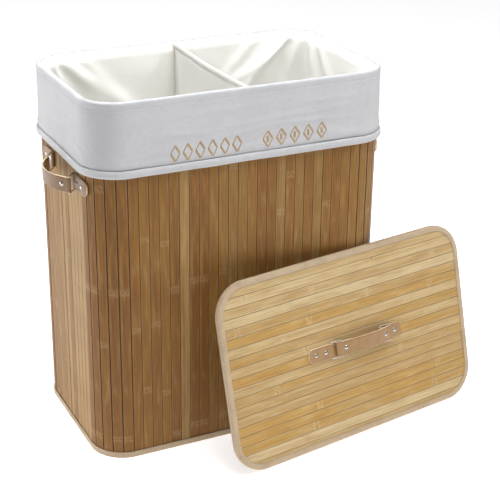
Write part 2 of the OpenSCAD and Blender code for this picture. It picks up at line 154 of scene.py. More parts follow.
# %% A finish
class Finish:
    """A material with one Principled shader; uniform values go straight on the shader's sockets."""

    def __init__(self, name, **uniform):
        self.material = bpy.data.materials.new(name)
        self.material.use_nodes = True
        self.tree = self.material.node_tree
        self.shader = self.tree.nodes["Principled BSDF"]
        for socket, value in uniform.items():
            self.shader.inputs[socket.replace("_", " ")].default_value = value

    def node(self, kind, settings, inputs, out=0):
        made = self.tree.nodes.new(kind)
        for key, value in settings.items():
            if key == "stops":
                ramp = made.color_ramp
                while len(ramp.elements) < len(value):
                    ramp.elements.new(0.5)
                for element, (place, colour) in zip(ramp.elements, value):
                    element.position, element.color = place, (*colour, 1)
            else:
                setattr(made, key, value)
        for key, value in inputs.items():
            if isinstance(value, Val):
                self.tree.links.new(value.socket, made.inputs[key])
            else:
                made.inputs[key].default_value = value
        return Val(self, made.outputs[out])

    def field(self, name):
        """The three numbers that a mesh keeps under one name at each of its points."""
        vector = self.node("ShaderNodeAttribute", {"attribute_name": name}, {}, "Vector")
        return [self.node("ShaderNodeSeparateXYZ", {}, {0: vector}, i) for i in range(3)]

    def vector(self, x, y, z):
        return self.node("ShaderNodeCombineXYZ", {}, {0: x, 1: y, 2: z})

    def place(self):
        return self.node("ShaderNodeTexCoord", {}, {}, "Object")

    def noise(self, vector, scale, detail=3.0, rough=0.5):
        inputs = {"Vector": vector, "Scale": scale, "Detail": detail, "Roughness": rough}
        return self.node("ShaderNodeTexNoise", {}, inputs, "Fac")

    def streaks(self, x, y, z, detail=2.0, rough=0.5):
        """Noise that is stretched: the numbers are multiplied before they are read."""
        return self.noise(self.vector(x, y, z), 1.0, detail, rough)

    def colours(self, value, *stops):
        return self.node("ShaderNodeValToRGB", {"stops": stops}, {0: value}, "Color")

    def blend(self, share, a, b, how="MIX"):
        wide = [x if isinstance(x, Val) else (*x, 1) for x in (a, b)]
        return self.node("ShaderNodeMix", {"data_type": "RGBA", "blend_type": how},
                         {0: share, 6: wide[0], 7: wide[1]}, 2)

    def bump(self, height, distance, strength=1.0):
        normal = self.node("ShaderNodeBump", {}, {"Height": height, "Distance": distance,
                                                  "Strength": strength}, "Normal")
        self.feed(Normal=normal)

    def feed(self, **sockets):
        for socket, value in sockets.items():
            self.tree.links.new(value.socket, self.shader.inputs[socket.replace("_", " ")])


print("finishes can be mixed from noise, ramps and blends")

# %% [markdown]
# ## Grids of points
# Almost every piece here is a strip: a slat, a tape, a strap, a cuff. Each is a grid of points that closes on
# itself one way or both ways. `Mesh` gathers any number of grids into one object and keeps named numbers at
# their points for the finishes to read. `piece` also says which body the object rides on and which packed
# nodes it replaces.

# %% Mesh helper
class Mesh:
    def __init__(self):
        self.points, self.faces, self.count = [], [], 0
        self.fields = {}

    def grid(self, P, closed=(False, False), caps=False, **fields):
        rows, cols = P.shape[:2]
        i, j = np.meshgrid(np.arange(rows if closed[0] else rows - 1),
                           np.arange(cols if closed[1] else cols - 1), indexing="ij")
        k, l = (i + 1) % rows, (j + 1) % cols
        quads = np.stack([i * cols + j, k * cols + j, k * cols + l, i * cols + l], -1).reshape(-1, 4)
        self.faces += (quads + self.count).tolist()
        if caps:
            self.faces.append(list(range(self.count, self.count + cols)))
            last = self.count + (rows - 1) * cols
            self.faces.append(list(range(last, last + cols))[::-1])
        self.points.append(P.reshape(-1, 3))
        for name, values in fields.items():
            whole = np.broadcast_to(np.asarray(values, float), P.shape)
            self.fields.setdefault(name, []).append(whole.reshape(-1, 3))
        self.count += rows * cols
        return self

    def piece(self, name, material, body, slot, *nodes, smooth=True, solid=0.0):
        data = bpy.data.meshes.new(name)
        data.from_pydata(np.concatenate(self.points).tolist(), [], self.faces)
        for key, values in self.fields.items():
            layer = data.attributes.new(key, "FLOAT_VECTOR", "POINT")
            layer.data.foreach_set("vector", np.concatenate(values).ravel())
        obj = bpy.data.objects.new(name, data)
        bpy.context.scene.collection.objects.link(obj)
        tidy = bmesh.new()
        tidy.from_mesh(data)
        bmesh.ops.recalc_face_normals(tidy, faces=tidy.faces)
        tidy.to_mesh(data)
        tidy.free()
        if smooth:
            data.shade_smooth()
        if solid:
            thick = obj.modifiers.new("thickness", "SOLIDIFY")
            thick.thickness, thick.offset = solid, 0
        obj.data.materials.append(material)
        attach(obj, body)
        if nodes:
            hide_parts(*nodes)
        print(name, len(data.vertices), "points")
        return obj


print("grids can be gathered into pieces")

# %% [markdown]
# Places are worked out for whole grids at once. These helpers join numbers into points, measure along a
# line, go round a tube, and give smooth unevenness, because nothing sewn or split by hand is quite regular.

# %% Helpers for points
def per_point(a, b, c=0.0):
    """Puts three arrays together, so that each point of a grid has all three numbers."""
    return np.stack(np.broadcast_arrays(a, b, c), -1)


def walk_along(line):
    """The distance walked to each point of a line."""
    return np.concatenate([[0], np.cumsum(np.linalg.norm(np.diff(line, axis=0), axis=1))])


def back_to_start(line):
    return np.vstack([line, line[:1]])


def round_angles(count):
    return np.linspace(0, 2 * math.pi, count, endpoint=False)


def squarish(wave, power):
    """Fattens a sine or cosine, so that a circle made with it turns into a rounded square."""
    return np.sign(wave) * np.abs(wave) ** power


def wavy(seed, x, y=0.0, z=0.0):
    """Smooth random numbers from -1 to 1 over arrays of places."""
    x, y, z = np.broadcast_arrays(x, y, z)
    flat = [noise.noise((a + seed, b - seed, c + 2 * seed)) for a, b, c in
            zip(x.ravel(), y.ravel(), z.ravel())]
    return np.array(flat).reshape(x.shape)


print("unevenness at one place:", round(float(wavy(1.0, np.array([0.3]))[0]), 3))

# %% [markdown]
# ## The hamper's outline
# Everything on the body follows one rounded rectangle. `outline` walks round it from the middle of the back
# and gives places, outward directions and the distance walked, and a point further in is a step against the
# outward direction.

# %% Outline of the body and of the lid
slats_low, slats_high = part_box("front_slats")
left_low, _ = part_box("left_slats")
HALF_W, HALF_D = -left_low[0], -slats_low[1]
CORNER = HALF_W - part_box("mat_backing")[1][0] + 0.055
MAT_TOP, MAT_FOOT = slats_high[2], slats_low[2]
CUFF_FOOT, HEM_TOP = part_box("cuff_hem")[0][2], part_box("cuff_hem")[1][2]


def outline(half_w, half_d, r, step):
    x, y = half_w - r, half_d - r
    runs = [("line", (0, half_d), (-x, half_d)), ("arc", (-x, y), 90), ("line", (-half_w, y), (-half_w, -y)),
            ("arc", (-x, -y), 180), ("line", (-x, -half_d), (x, -half_d)), ("arc", (x, -y), 270),
            ("line", (half_w, -y), (half_w, y)), ("arc", (x, y), 0), ("line", (x, half_d), (0, half_d))]
    places, ways = [], []
    for kind, a, b in runs:
        if kind == "line":
            a, b = np.array(a), np.array(b)
            n = max(1, round(np.linalg.norm(b - a) / step))
            along = (b - a) / np.linalg.norm(b - a)
            places += [a + (b - a) * k / n for k in range(n)]
            ways += [(-along[1], along[0])] * n
        else:
            n = max(4, round(r * math.pi / 2 / step))
            turn = np.radians(b + 90 * np.arange(n) / n)
            ways += list(zip(np.cos(turn), np.sin(turn)))
            places += [np.array(a) + r * np.array(w) for w in ways[-n:]]
    places, ways = np.array(places), np.array(ways)
    ways *= np.sign((places * ways).sum(1))[:, None]
    hops = np.linalg.norm(np.roll(places, -1, 0) - places, axis=1)
    return places, ways, np.concatenate([[0], np.cumsum(hops)[:-1]])


def wrap(path, out, z):
    """Points at a distance outside the outline and at a height; out and z are (places, points) arrays."""
    places, ways, _ = path
    out, z = np.broadcast_arrays(out, z)
    flat = places[:, None, :] + ways[:, None, :] * out[:, :, None]
    return np.concatenate([flat, z[:, :, None]], -1)


body_path = outline(HALF_W, HALF_D, CORNER, 0.006)
AROUND = body_path[2][-1]
print("outline", len(body_path[0]), "points,", round(AROUND, 3), "m round, corner", round(CORNER, 4))

# %% [markdown]
# ## Bamboo
# A slat is split bamboo, planed flat and smoked: straight fibres along it, short dark vessel marks, and a
# pale ring where a joint of the cane was. Slats come from different canes, so each has its own tone. On top
# of that, the side walls' slats are painted paler and the others darker towards the left, as painted light
# and shade. The finish reads three numbers at each point: how far across, how far along, and the slat's own
# number.

# %% Bamboo finish
KNOT_GAP, KNOT_SHIFT = 0.27, 0.83


def bamboo(name, tones, dark, pale, line, rough=0.5):
    """Tones run from the darkest slat to the palest; the others are its marks, its rings (also its painted
    edge highlight) and the painted shade at its edges.
    """
    f = Finish(name, Specular_IOR_Level=0.2)
    across, along, seed = f.field("slat")
    fibre = f.streaks(across * 2600, along * 14, seed * 97, 4.0, 0.6)
    streak = f.streaks(across * 420, along * 5, seed * 53)
    cloud = f.streaks(across * 60, along * 9, seed * 31)
    stain = f.streaks(across * 150, along * 22, seed * 19, 3.0)
    vessel = f.streaks(across * 2100, along * 90, seed * 71, 1.0)
    tone = f.colours(seed + (streak - 0.5) * 0.7 + (cloud - 0.5) * 0.6, *tones)
    cell = ((along + seed * KNOT_SHIFT) / KNOT_GAP).fract() - 0.5
    ring = cell.abs() * KNOT_GAP + (cloud - 0.5) * 0.008
    shown = (seed * 37.7).fract().over(0.4)
    near = ring.ramp(0.0085, 0.002) * shown
    scar = ring.ramp(0.0022, 0.0006) * streak.ramp(0.45, 0.6) * shown
    crackle = f.streaks(across * 900, along * 700, seed * 13, 3.0)
    marks = vessel.ramp(0.62, 0.74) * 0.30
    shade = f.blend(fibre.ramp(0.32, 0.68) * 0.35, tone, dark, "MULTIPLY")
    shade = f.blend(stain.ramp(0.5, 0.75) * 0.22, shade, dark)
    shade = f.blend(stain.ramp(0.5, 0.28) * 0.16, shade, pale)
    shade = f.blend(marks, shade, dark)
    shade = f.blend(near * crackle.ramp(0.45, 0.6) * 0.45, shade, pale)
    shade = f.blend(scar * 0.5, shade, dark)
    width = across.abs() / 0.0083
    # Painted highlight along each slat's edges, then painted shade on the very edges, where the gaps between
    # slats are.
    shade = f.blend(width.ramp(0.72, 0.90) * 0.14, shade, pale)
    shade = f.blend(width.ramp(0.925, 0.985) * 0.85, shade, line)
    f.feed(Base_Color=shade, Roughness=fibre * 0.16 + cloud * 0.12 + (rough - 0.14))
    f.bump(fibre * 0.5 + vessel * 0.3 + near * 0.8, 0.0002, 0.7)
    return f.material


BODY_TONES = [(0.0, (0.245, 0.107, 0.025)), (0.2, (0.285, 0.130, 0.030)), (0.4, (0.325, 0.160, 0.036)),
              (0.55, (0.315, 0.172, 0.050)), (0.75, (0.400, 0.235, 0.082)), (1.0, (0.490, 0.325, 0.125))]
LID_TONES = [(0.0, (0.520, 0.280, 0.070)), (0.25, (0.590, 0.370, 0.115)), (0.45, (0.570, 0.390, 0.180)),
             (0.65, (0.640, 0.465, 0.225)), (0.85, (0.720, 0.560, 0.315)), (1.0, (0.760, 0.620, 0.380))]
# The last colour of each bamboo is the painted shade at the slats' edges.
body_bamboo = bamboo("smoked_bamboo", BODY_TONES, (0.130, 0.052, 0.016), (0.56, 0.38, 0.18),
                     (0.090, 0.032, 0.011))
lid_bamboo = bamboo("pale_bamboo", LID_TONES, (0.27, 0.14, 0.045), (0.78, 0.64, 0.42),
                    (0.170, 0.085, 0.032))
print("two bamboos, each with", len(BODY_TONES), "tones")

# %% [markdown]
# ## Slats
# Each slat is a long box with softened edges and a slightly crowned face. Real ones are never quite equal, so
# each stands a touch proud or shy, and has a low ridge at each cane joint, which falls where its finish
# draws the ring.

# %% One slat
SLAT_T, CROWN = 0.003, 0.00022


def slat(mesh, ends, width, frame_of, seed):
    """ends(a) gives where the slat starts and stops at a place across it; frame_of gives a point's place."""
    half = width / 2
    section = np.array([(-half, 0), (-half, SLAT_T - 0.0006), (-half + 0.0006, SLAT_T - CROWN),
                        (-half * 0.45, SLAT_T - CROWN * 0.2), (half * 0.45, SLAT_T - CROWN * 0.2),
                        (half - 0.0006, SLAT_T - CROWN), (half, SLAT_T - 0.0006), (half, 0)])
    start, stop = ends(0.0)
    first = math.ceil((start + seed * KNOT_SHIFT) / KNOT_GAP - 0.5)
    rows = list(np.linspace(0, 1, 9))
    for k in range(first, first + 4):
        knot = (k + 0.5) * KNOT_GAP - seed * KNOT_SHIFT
        rows += [(knot + d - start) / (stop - start) for d in (-0.004, -0.0015, 0, 0.0015, 0.004)]
    rows = np.array(sorted(r for r in rows if 0 <= r <= 1))
    low = np.array([ends(a)[0] for a in section[:, 0]])
    high = np.array([ends(a)[1] for a in section[:, 0]])
    along = low[None] + (high - low)[None] * rows[:, None]
    across = np.broadcast_to(section[:, 0], along.shape)
    cell = np.abs((along + seed * KNOT_SHIFT) / KNOT_GAP % 1 - 0.5) * KNOT_GAP
    ridge = 0.00028 * np.exp(-(cell / 0.0015) ** 2)
    out = section[:, 1][None] + (ridge + 0.0002 * math.sin(seed * 611)) * (section[:, 1] > SLAT_T / 2)
    mesh.grid(frame_of(across, along, out), (False, True), caps=True, slat=per_point(across, along, seed))


print("a slat is", SLAT_T * 1000, "mm thick, with a joint every", KNOT_GAP, "m")

# %% [markdown]
# The mat's slats are glued to cloth at an even pitch, so on a corner their faces open like the pages of a
# book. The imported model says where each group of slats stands; a slat's place follows from the distance
# along the cloth, just as in the design.

# %% The body's slats
SLATS, SLAT_GAP = 90, 0.0006
CLOTH_R = CORNER - SLAT_T
STRAIGHT_X, STRAIGHT_Y = HALF_W - CORNER, HALF_D - CORNER
QUARTER = CLOTH_R * math.pi / 2
PITCH = 4 * (STRAIGHT_X + STRAIGHT_Y + QUARTER) / SLATS
SLAT_W = PITCH - SLAT_GAP


def slat_place(s):
    """Where the slat at a distance round the cloth stands, from the middle of the front to the right."""
    marks = np.cumsum([STRAIGHT_X, QUARTER, 2 * STRAIGHT_Y, QUARTER])
    if s <= marks[0]:
        return "front", s, -HALF_D + SLAT_T, 0.0
    if s <= marks[1]:
        a = (s - marks[0]) / CLOTH_R
        return "front_corner", STRAIGHT_X + CLOTH_R * math.sin(a), -STRAIGHT_Y - CLOTH_R * math.cos(a), a
    if s <= marks[2]:
        return "side", HALF_W - SLAT_T, s - marks[1] - STRAIGHT_Y, math.pi / 2
    if s <= marks[3]:
        a = (s - marks[2]) / CLOTH_R
        return ("back_corner", STRAIGHT_X + CLOTH_R * math.cos(a), STRAIGHT_Y + CLOTH_R * math.sin(a),
                math.pi / 2 + a)
    return "back", STRAIGHT_X - (s - marks[3]), HALF_D - SLAT_T, math.pi


def slat_node(zone, side):
    """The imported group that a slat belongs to."""
    hand = "right" if side > 0 else "left"
    if zone == "side":
        return hand + "_slats"
    return zone.replace("corner", hand + "_corner") + "_slats"


rng = np.random.default_rng(7)
groups = {}
for side in (1, -1):
    for k in range(SLATS // 2):
        zone, x, y, turn = slat_place((k + 0.5) * PITCH)
        middle = np.array([side * x, y])
        tangent = np.array([side * math.cos(turn), math.sin(turn)])
        normal = np.array([side * math.sin(turn), -math.cos(turn)])

        def upright_slat(across, along, out, m=middle, t=tangent, n=normal):
            flat = m + t * across[..., None] + n * out[..., None]
            return np.concatenate([flat, along[..., None]], -1)

        group = groups.setdefault(slat_node(zone, side), Mesh())
        # Painted light and shade: side-wall slats get paler tones, and the other slats' tones darken towards
        # the left.
        light = 0.74 if zone == "side" else 0.34 + 0.6 * side * x
        slat(group, lambda a: (MAT_FOOT, MAT_TOP), SLAT_W + rng.uniform(-0.0001, 0.0003), upright_slat,
             float(np.clip(rng.normal(light, 0.21), 0.12, 0.80)))
for node, group in groups.items():
    group.piece(node + "_bamboo", body_bamboo, "hamper", "bamboo", node, smooth=False)
print("slat pitch", round(PITCH, 5))

# %% [markdown]
# ## The lid's plane
# The lid is a flat board that leans on the hamper, so its pieces are made in its own plane, with one axis
# along its length, one up its slatted face and one out of that face, and then moved into place together.

# %% The lid's plane and outline
LID_TURN, LID_LEAN = math.radians(9.77), math.radians(14.2)
LID_W, LID_D, LID_R = 0.522, 0.322, 0.057
LID_CORE, TAPE_T = 0.0082, 0.0008
lid_along = np.array([math.cos(LID_TURN), math.sin(LID_TURN), 0])
lid_level = np.array([math.sin(LID_TURN), -math.cos(LID_TURN), 0])
lid_up = math.cos(LID_LEAN) * np.array([0, 0, 1]) - math.sin(LID_LEAN) * lid_level
lid_out = np.cross(lid_along, lid_up)
LID_FOOT = np.array([0.182, -0.2494, (LID_CORE + TAPE_T + 0.0002) * math.sin(LID_LEAN) + 0.00005])


def on_lid(along, upward, out):
    """A place on the lid: along from its middle, up from its lower edge, out of its slatted face."""
    along, upward, out = np.broadcast_arrays(along, upward, out)
    return (LID_FOOT + along[..., None] * lid_along + upward[..., None] * lid_up
            + out[..., None] * lid_out)


lid_gap = np.abs(np.array(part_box("lid_slats")).mean(0) - on_lid(0, LID_D / 2, -0.0015)).max()
print("middle of the lid is within", round(float(lid_gap) * 1000, 2), "mm of the packed one")

# %% [markdown]
# The lid's slats lie along it and are cut off at its rounded corners, so each one's ends follow the outline.

# %% The lid's slats
LID_PITCH, LID_FIRST, LID_INSET = 0.0166, -0.0002, 0.001


def lid_reach(v):
    """How far the lid's core reaches from its middle line at a height up its face."""
    r = LID_R - LID_INSET
    past = max(0.0, abs(v - LID_D / 2) - (LID_D / 2 - LID_R))
    return LID_W / 2 - LID_INSET - r + math.sqrt(max(0.0, r * r - min(past, r) ** 2))


lid_mesh = Mesh()
for k in range(20):
    low = max(LID_INSET, LID_FIRST + k * LID_PITCH + SLAT_GAP / 2)
    high = min(LID_D - LID_INSET, LID_FIRST + (k + 1) * LID_PITCH - SLAT_GAP / 2)
    if high - low < 0.002:
        continue
    middle = (low + high) / 2

    def lying_slat(across, along, out, m=middle):
        return on_lid(along, m + across, out - SLAT_T)

    slat(lid_mesh, lambda a, m=middle: (-lid_reach(m + a), lid_reach(m + a)), high - low, lying_slat,
         float(rng.uniform(0.25, 0.85)))
lid_mesh.piece("lid_slats_bamboo", lid_bamboo, "lid", "lid_bamboo", "lid_slats", smooth=False)

# %% [markdown]
# ## Woven cloths
# Three cloths are used: white cotton, beige herringbone tape and the plain cloth behind the slats. All are
# threads that pass over and under each other, so one function draws a weave from two waves, and the tape's
# waves lean left and right in turn.

# %% Cloth finishes
def darker(colour, share):
    return tuple(c * share for c in colour)


def weave(u, v, pitch):
    turn = 2 * math.pi / pitch
    warp = (u * turn).sin()
    weft = (v * turn).sin()
    return warp.abs() * 0.5 + weft.abs() * 0.5


def cotton(name, colour, shade, pitch=0.0011, rough=0.0):
    f = Finish(name, Roughness=0.86, Sheen_Weight=0.10, Sheen_Roughness=0.5, Specular_IOR_Level=0.15)
    u, v, _ = f.field("cloth")
    threads = weave(u, v, pitch)
    slub = f.streaks(u * 260, v * 1900, 0.0)
    cloud = f.noise(f.place(), 22.0, 3.0)
    base = f.blend(cloud.ramp(0.3, 0.7) * 0.5, colour, shade)
    base = f.blend(threads.ramp(0.15, 0.6) * 0.05, base, darker(shade, 0.80))
    base = f.blend(slub.ramp(0.45, 0.75) * 0.25, base, darker(shade, 0.85))
    uneven = f.streaks(u * 110, v * 430, 7.0, 3.0)
    base = f.blend(uneven.ramp(0.5, 0.7) * (0.15 + rough), base, darker(shade, 0.80))
    f.feed(Base_Color=base, Roughness=slub * 0.12 + 0.8)
    f.bump(threads + slub * 0.6 + uneven * (1.5 + rough * 10), 0.00018, 0.6)
    return f.material


def herringbone(name, light, dark):
    f = Finish(name, Roughness=0.82, Sheen_Weight=0.2, Specular_IOR_Level=0.25)
    s, t, _ = f.field("tape")
    lean = ((s / 0.006).fract() - 0.5).abs()
    twill = ((t / 0.0016 + lean * 7.5).fract() - 0.5).abs() * 2
    fuzz = f.streaks(s * 900, t * 900, 0.0, 3.0)
    wear = f.noise(f.place(), 35.0, 3.0)
    base = f.blend(twill.ramp(0.25, 0.75), light, dark)
    base = f.blend(wear.ramp(0.4, 0.8) * 0.4, base, darker(dark, 0.8))
    f.feed(Base_Color=base, Roughness=fuzz * 0.2 + 0.72)
    f.bump(twill * 0.8 + fuzz * 0.5, 0.0003, 0.8)
    return f.material


# The cuff and the bag are one cloth: the cuff's copy is darker and a little bluer, which is painted shade.
shaded_cuff_cotton = cotton("shaded_cuff_cotton", (0.590, 0.590, 0.605), (0.53, 0.53, 0.55), rough=0.15)
bag_cotton = cotton("bag_cotton", (0.93, 0.925, 0.89), (0.90, 0.89, 0.845))
seam_cotton = cotton("seam_cotton", (0.84, 0.79, 0.68), (0.76, 0.70, 0.58), 0.0008)
backing_cloth = cotton("backing_cloth", (0.24, 0.145, 0.07), (0.18, 0.105, 0.05), 0.0016)
edge_tape = herringbone("herringbone_tape", (0.70, 0.55, 0.38), (0.45, 0.32, 0.20))
thread = cotton("stitch_thread", (0.66, 0.56, 0.41), (0.50, 0.41, 0.28), 0.0007)
print("cotton for the cuff, the bag and its seams, backing cloth, tape and thread")

# %% [markdown]
# ## Stitches
# A seam is a row of small thread bridges. Each is a bead drawn out along the seam, half sunk in the cloth,
# and a whole row is one piece.

# %% Stitch rows
BEAD = [(math.cos(a), math.sin(a)) for a in round_angles(6)]
BEAD_SHAPE = ((-1, 0.15), (-0.55, 0.85), (0, 1), (0.55, 0.85), (1, 0.15))


def stitches(mesh, points, outs, pitch=0.0034, length=0.0024, thick=0.00045):
    """Adds a row of stitches to a mesh along a line of points, with the outward direction at each."""
    walked = walk_along(points)
    at = np.arange(pitch / 2, walked[-1], pitch)

    def read(values, where):
        return np.stack([np.interp(where, walked, values[:, i]) for i in range(3)], -1)

    for p, q, n in zip(read(points, at), read(points, at + 1e-4), read(outs, at)):
        t = (q - p) / max(np.linalg.norm(q - p), 1e-9)
        n = n / np.linalg.norm(n)
        b = np.cross(t, n)
        rings = [[p + t * along * length / 2 + wide * thick * (b * c + n * s) for c, s in BEAD]
                 for along, wide in BEAD_SHAPE]
        mesh.grid(np.array(rings), (False, True), caps=True, cloth=np.zeros(3))
    print(len(at), "stitches")


def seam_round(mesh, path, out, z, **how):
    line = wrap(path, np.asarray(out).reshape(-1, 1), np.asarray(z).reshape(-1, 1))[:, 0]
    ways = np.concatenate([path[1], np.zeros((len(path[1]), 1))], 1)
    stitches(mesh, back_to_start(line), back_to_start(ways), **how)


# %% [markdown]
# ## Edge tape
# The mat's raw ends are bound top and bottom with folded tape, and the lid's edge all round. Each is a
# U-shaped section carried round the outline, a little loose, with a row of stitches near its free edge.

# %% Tape round the body
TAPE_LEAF, TAPE_FLAT = 0.010, 0.031


def tape_section(fold, leaf):
    """(out, height) points of a folded tape, round its outside and back along its inside."""
    up = 1 if leaf > fold else -1
    outer, inner, t = 0.0007, -0.0044, TAPE_T
    return np.array([(inner - t, leaf), (inner - t - 0.0001, fold + up * 0.0035),
                     (inner - t, fold + up * 0.0006), (inner, fold), (outer, fold),
                     (outer + t, fold + up * 0.0007),
                     (outer + t + 0.0003, fold + up * 0.0030), (outer + t + 0.0002, fold + up * 0.0065),
                     (outer + t, leaf - up * 0.0006), (outer + t * 0.5, leaf), (outer, leaf - up * 0.0003),
                     (outer, fold + up * 0.0009), (inner, fold + up * 0.0009), (inner, leaf)])


def body_tape(name, node, fold, leaf):
    section = tape_section(fold, leaf)
    s = body_path[2][:, None]
    ripple = 0.00018 * wavy(3.1, s * 60, section[:, 1] * 90) * (section[:, 0] > 0)
    P = wrap(body_path, section[:, 0][None] + ripple, section[:, 1][None])
    tape = Mesh().grid(P, (True, True), tape=per_point(s, walk_along(section)[None]))
    piece = tape.piece(name, edge_tape, "hamper", "binding_tape", node)
    up = 1 if leaf > fold else -1
    row = Mesh()
    seam_round(row, body_path, np.full(len(s), 0.00155), np.full(len(s), leaf - up * 0.0022))
    row.piece(name + "_stitches", thread, "hamper", "binding_tape")


print("a folded tape's section has", len(tape_section(0.0, TAPE_LEAF)), "points")

# %% [markdown]
# The cloth behind the slats is seen in their gaps, and all over the inside when the liner is out. It
# follows the glued slats, so it is very slightly ribbed.

# %% Cloth behind the slats
CLOTH_OUT, CLOTH_IN = -0.0031, -0.0041
fine_path = outline(HALF_W, HALF_D, CORNER, 0.004)
backing_s = fine_path[2][:, None]
rib = 0.00012 * np.cos(backing_s / PITCH * 2 * math.pi)
heights = np.linspace(MAT_FOOT, MAT_TOP, 12)
inside = wrap(fine_path, CLOTH_IN + rib, heights[None])
outside = wrap(fine_path, np.full_like(rib, CLOTH_OUT), heights[None])
both = np.concatenate([inside, outside[:, ::-1]], 1)
v = np.concatenate([heights, heights[::-1]])
backing = Mesh().grid(both, (True, True), cloth=per_point(backing_s, v[None]))
backing_piece = backing.piece("mat_backing_cloth", backing_cloth, "hamper", "backing_cloth", "mat_backing")
body_tape("bottom_tape", "bottom_binding", 0.0, MAT_FOOT + TAPE_LEAF)
body_tape("top_tape", "top_binding", MAT_TOP + 0.0007, MAT_TOP - TAPE_LEAF)

# %% [markdown]
# The lid's tape wraps its whole edge: slats, board and the cloth on the underside. It is sewn through from
# both faces.

# %% Tape round the lid
lid_path = outline(LID_W / 2, LID_D / 2, LID_R, 0.006)


def lid_wrap(inset, out):
    """Points at a distance in from the lid's edge and out of its face; (places, points) arrays."""
    inset, out = np.broadcast_arrays(inset, out)
    flat = lid_path[0][:, None] - lid_path[1][:, None] * inset[..., None]
    return on_lid(flat[..., 0], flat[..., 1] + LID_D / 2, out)


FRONT, BACK = 0.0009, -LID_CORE - 0.0009
lid_section = np.array([(0.0100, FRONT - 0.0006), (0.0098, FRONT), (0.0070, FRONT + 0.0003),
                        (0.0030, FRONT + 0.0004), (0.0009, FRONT), (0.0, FRONT - 0.0010), (-0.0002, -0.003),
                        (0.0, BACK + 0.0010), (0.0009, BACK), (0.0070, BACK - 0.0001), (0.0098, BACK),
                        (0.0100, BACK + 0.0006), (0.0009, BACK + 0.0009), (0.0008, -0.004),
                        (0.0009, FRONT - 0.0009)])
lid_s = lid_path[2][:, None]
puff = 0.0002 * wavy(5.2, lid_s * 70, lid_section[:, 0] * 200) * (lid_section[:, 1] > 0)
P = lid_wrap(lid_section[:, 0][None], lid_section[:, 1][None] + puff)
lid_tape = Mesh().grid(P, (True, True), tape=per_point(lid_s, walk_along(lid_section)[None]))
lid_tape_piece = lid_tape.piece("lid_tape", edge_tape, "lid", "binding_tape", "lid_binding")

lid_stitches = Mesh()
for side, out in ((1, FRONT + 0.0002), (-1, BACK)):
    line = lid_wrap(np.full_like(lid_s, 0.0083), out)[:, 0]
    ways = np.tile(lid_out * side, (len(line), 1))
    stitches(lid_stitches, back_to_start(line), back_to_start(ways))
lid_stitches.piece("lid_tape_stitches", thread, "lid", "binding_tape")

# %% [markdown]
# The cloth on the underside is drawn as rings of points that step in from the edge, and one face fills the
# flat middle.

# %% The cloth on the lid's underside
under_rings = np.array([0.0012, 0.004, 0.010, 0.020, 0.034, 0.050])
slack = 0.00025 * wavy(8.8, lid_s * 18, under_rings[None] * 40)
under_P = lid_wrap(under_rings[None], -LID_CORE + 0.0001 + slack)
under = Mesh()
under.grid(under_P, (True, False), cloth=under_P @ np.stack([lid_along, lid_up, lid_out], 1))
hole = [k * len(under_rings) + len(under_rings) - 1 for k in range(len(lid_s))]
under.faces.append(hole)
under_piece = under.piece("lid_underside_cloth", backing_cloth, "lid", "backing_cloth", "lid_underside",
                          solid=0.0006)

# %% [markdown]
# ## Floor
# The floor is one plain white sheet that runs out of sight. It glows a little, as white paper does under
# studio light, so it stays white and only the shade next to the object shows.

# %% Floor
floor_finish = Finish("floor_white", Roughness=0.9, Specular_IOR_Level=0.1, Emission_Strength=0.68)
floor_finish.shader.inputs["Base Color"].default_value = (0.88, 0.88, 0.88, 1)
floor_finish.shader.inputs["Emission Color"].default_value = (1, 1, 1, 1)
floor_data = bpy.data.meshes.new("floor")
floor_data.from_pydata([(-14, -14, 0), (14, -14, 0), (14, 14, 0), (-14, 14, 0)], [], [(0, 1, 2, 3)])
floor_data.materials.append(floor_finish.material)
floor = bpy.data.objects.new("floor", floor_data)
floor.location.z = -0.0004
bpy.context.scene.collection.objects.link(floor)
print("floor 28 m wide")

# %% [markdown]
# ## The cuff's cloth
# The cuff is the liner's top, folded outwards over the mat's edge. It hangs nearly straight, but it stands
# off a little at the hem and keeps soft creases from packing and wearing. One function says how far the
# cloth stands out at any place, so the stitches and the embroidery can lie exactly on it.

# %% Where the cuff's cloth stands
LENGTH = AROUND + np.linalg.norm(body_path[0][-1] - body_path[0][0])
FRONT_MIDDLE = LENGTH / 2


def bell(x):
    return np.exp(-x * x)


def smooth(x):
    x = np.clip(x, 0, 1)
    return x * x * (3 - 2 * x)


# Each crease: place from the front's middle, height, half length, half width, depth, tilt.
CREASES = [(0.075, 0.566, 0.10, 0.0050, 0.00070, 0.05), (0.105, 0.553, 0.07, 0.0040, 0.00060, -0.04),
           (-0.02, 0.548, 0.05, 0.0045, 0.00055, 0.10), (0.140, 0.584, 0.05, 0.0050, 0.00045, 0.02),
           (-0.120, 0.559, 0.06, 0.0060, 0.00050, -0.08), (-0.160, 0.535, 0.03, 0.0050, 0.00060, 0.25),
           (0.165, 0.526, 0.04, 0.0040, 0.00070, -0.12), (-0.06, 0.590, 0.09, 0.0070, 0.00035, 0.03),
           (0.02, 0.527, 0.03, 0.0035, 0.00050, 0.15), (-0.36, 0.560, 0.05, 0.0070, 0.0008, 0.20),
           (-0.30, 0.540, 0.04, 0.0060, 0.0007, -0.25), (0.33, 0.565, 0.06, 0.0070, 0.0008, 0.15),
           (0.60, 0.555, 0.08, 0.0070, 0.0007, -0.10), (-0.62, 0.570, 0.07, 0.0080, 0.0007, 0.12)]


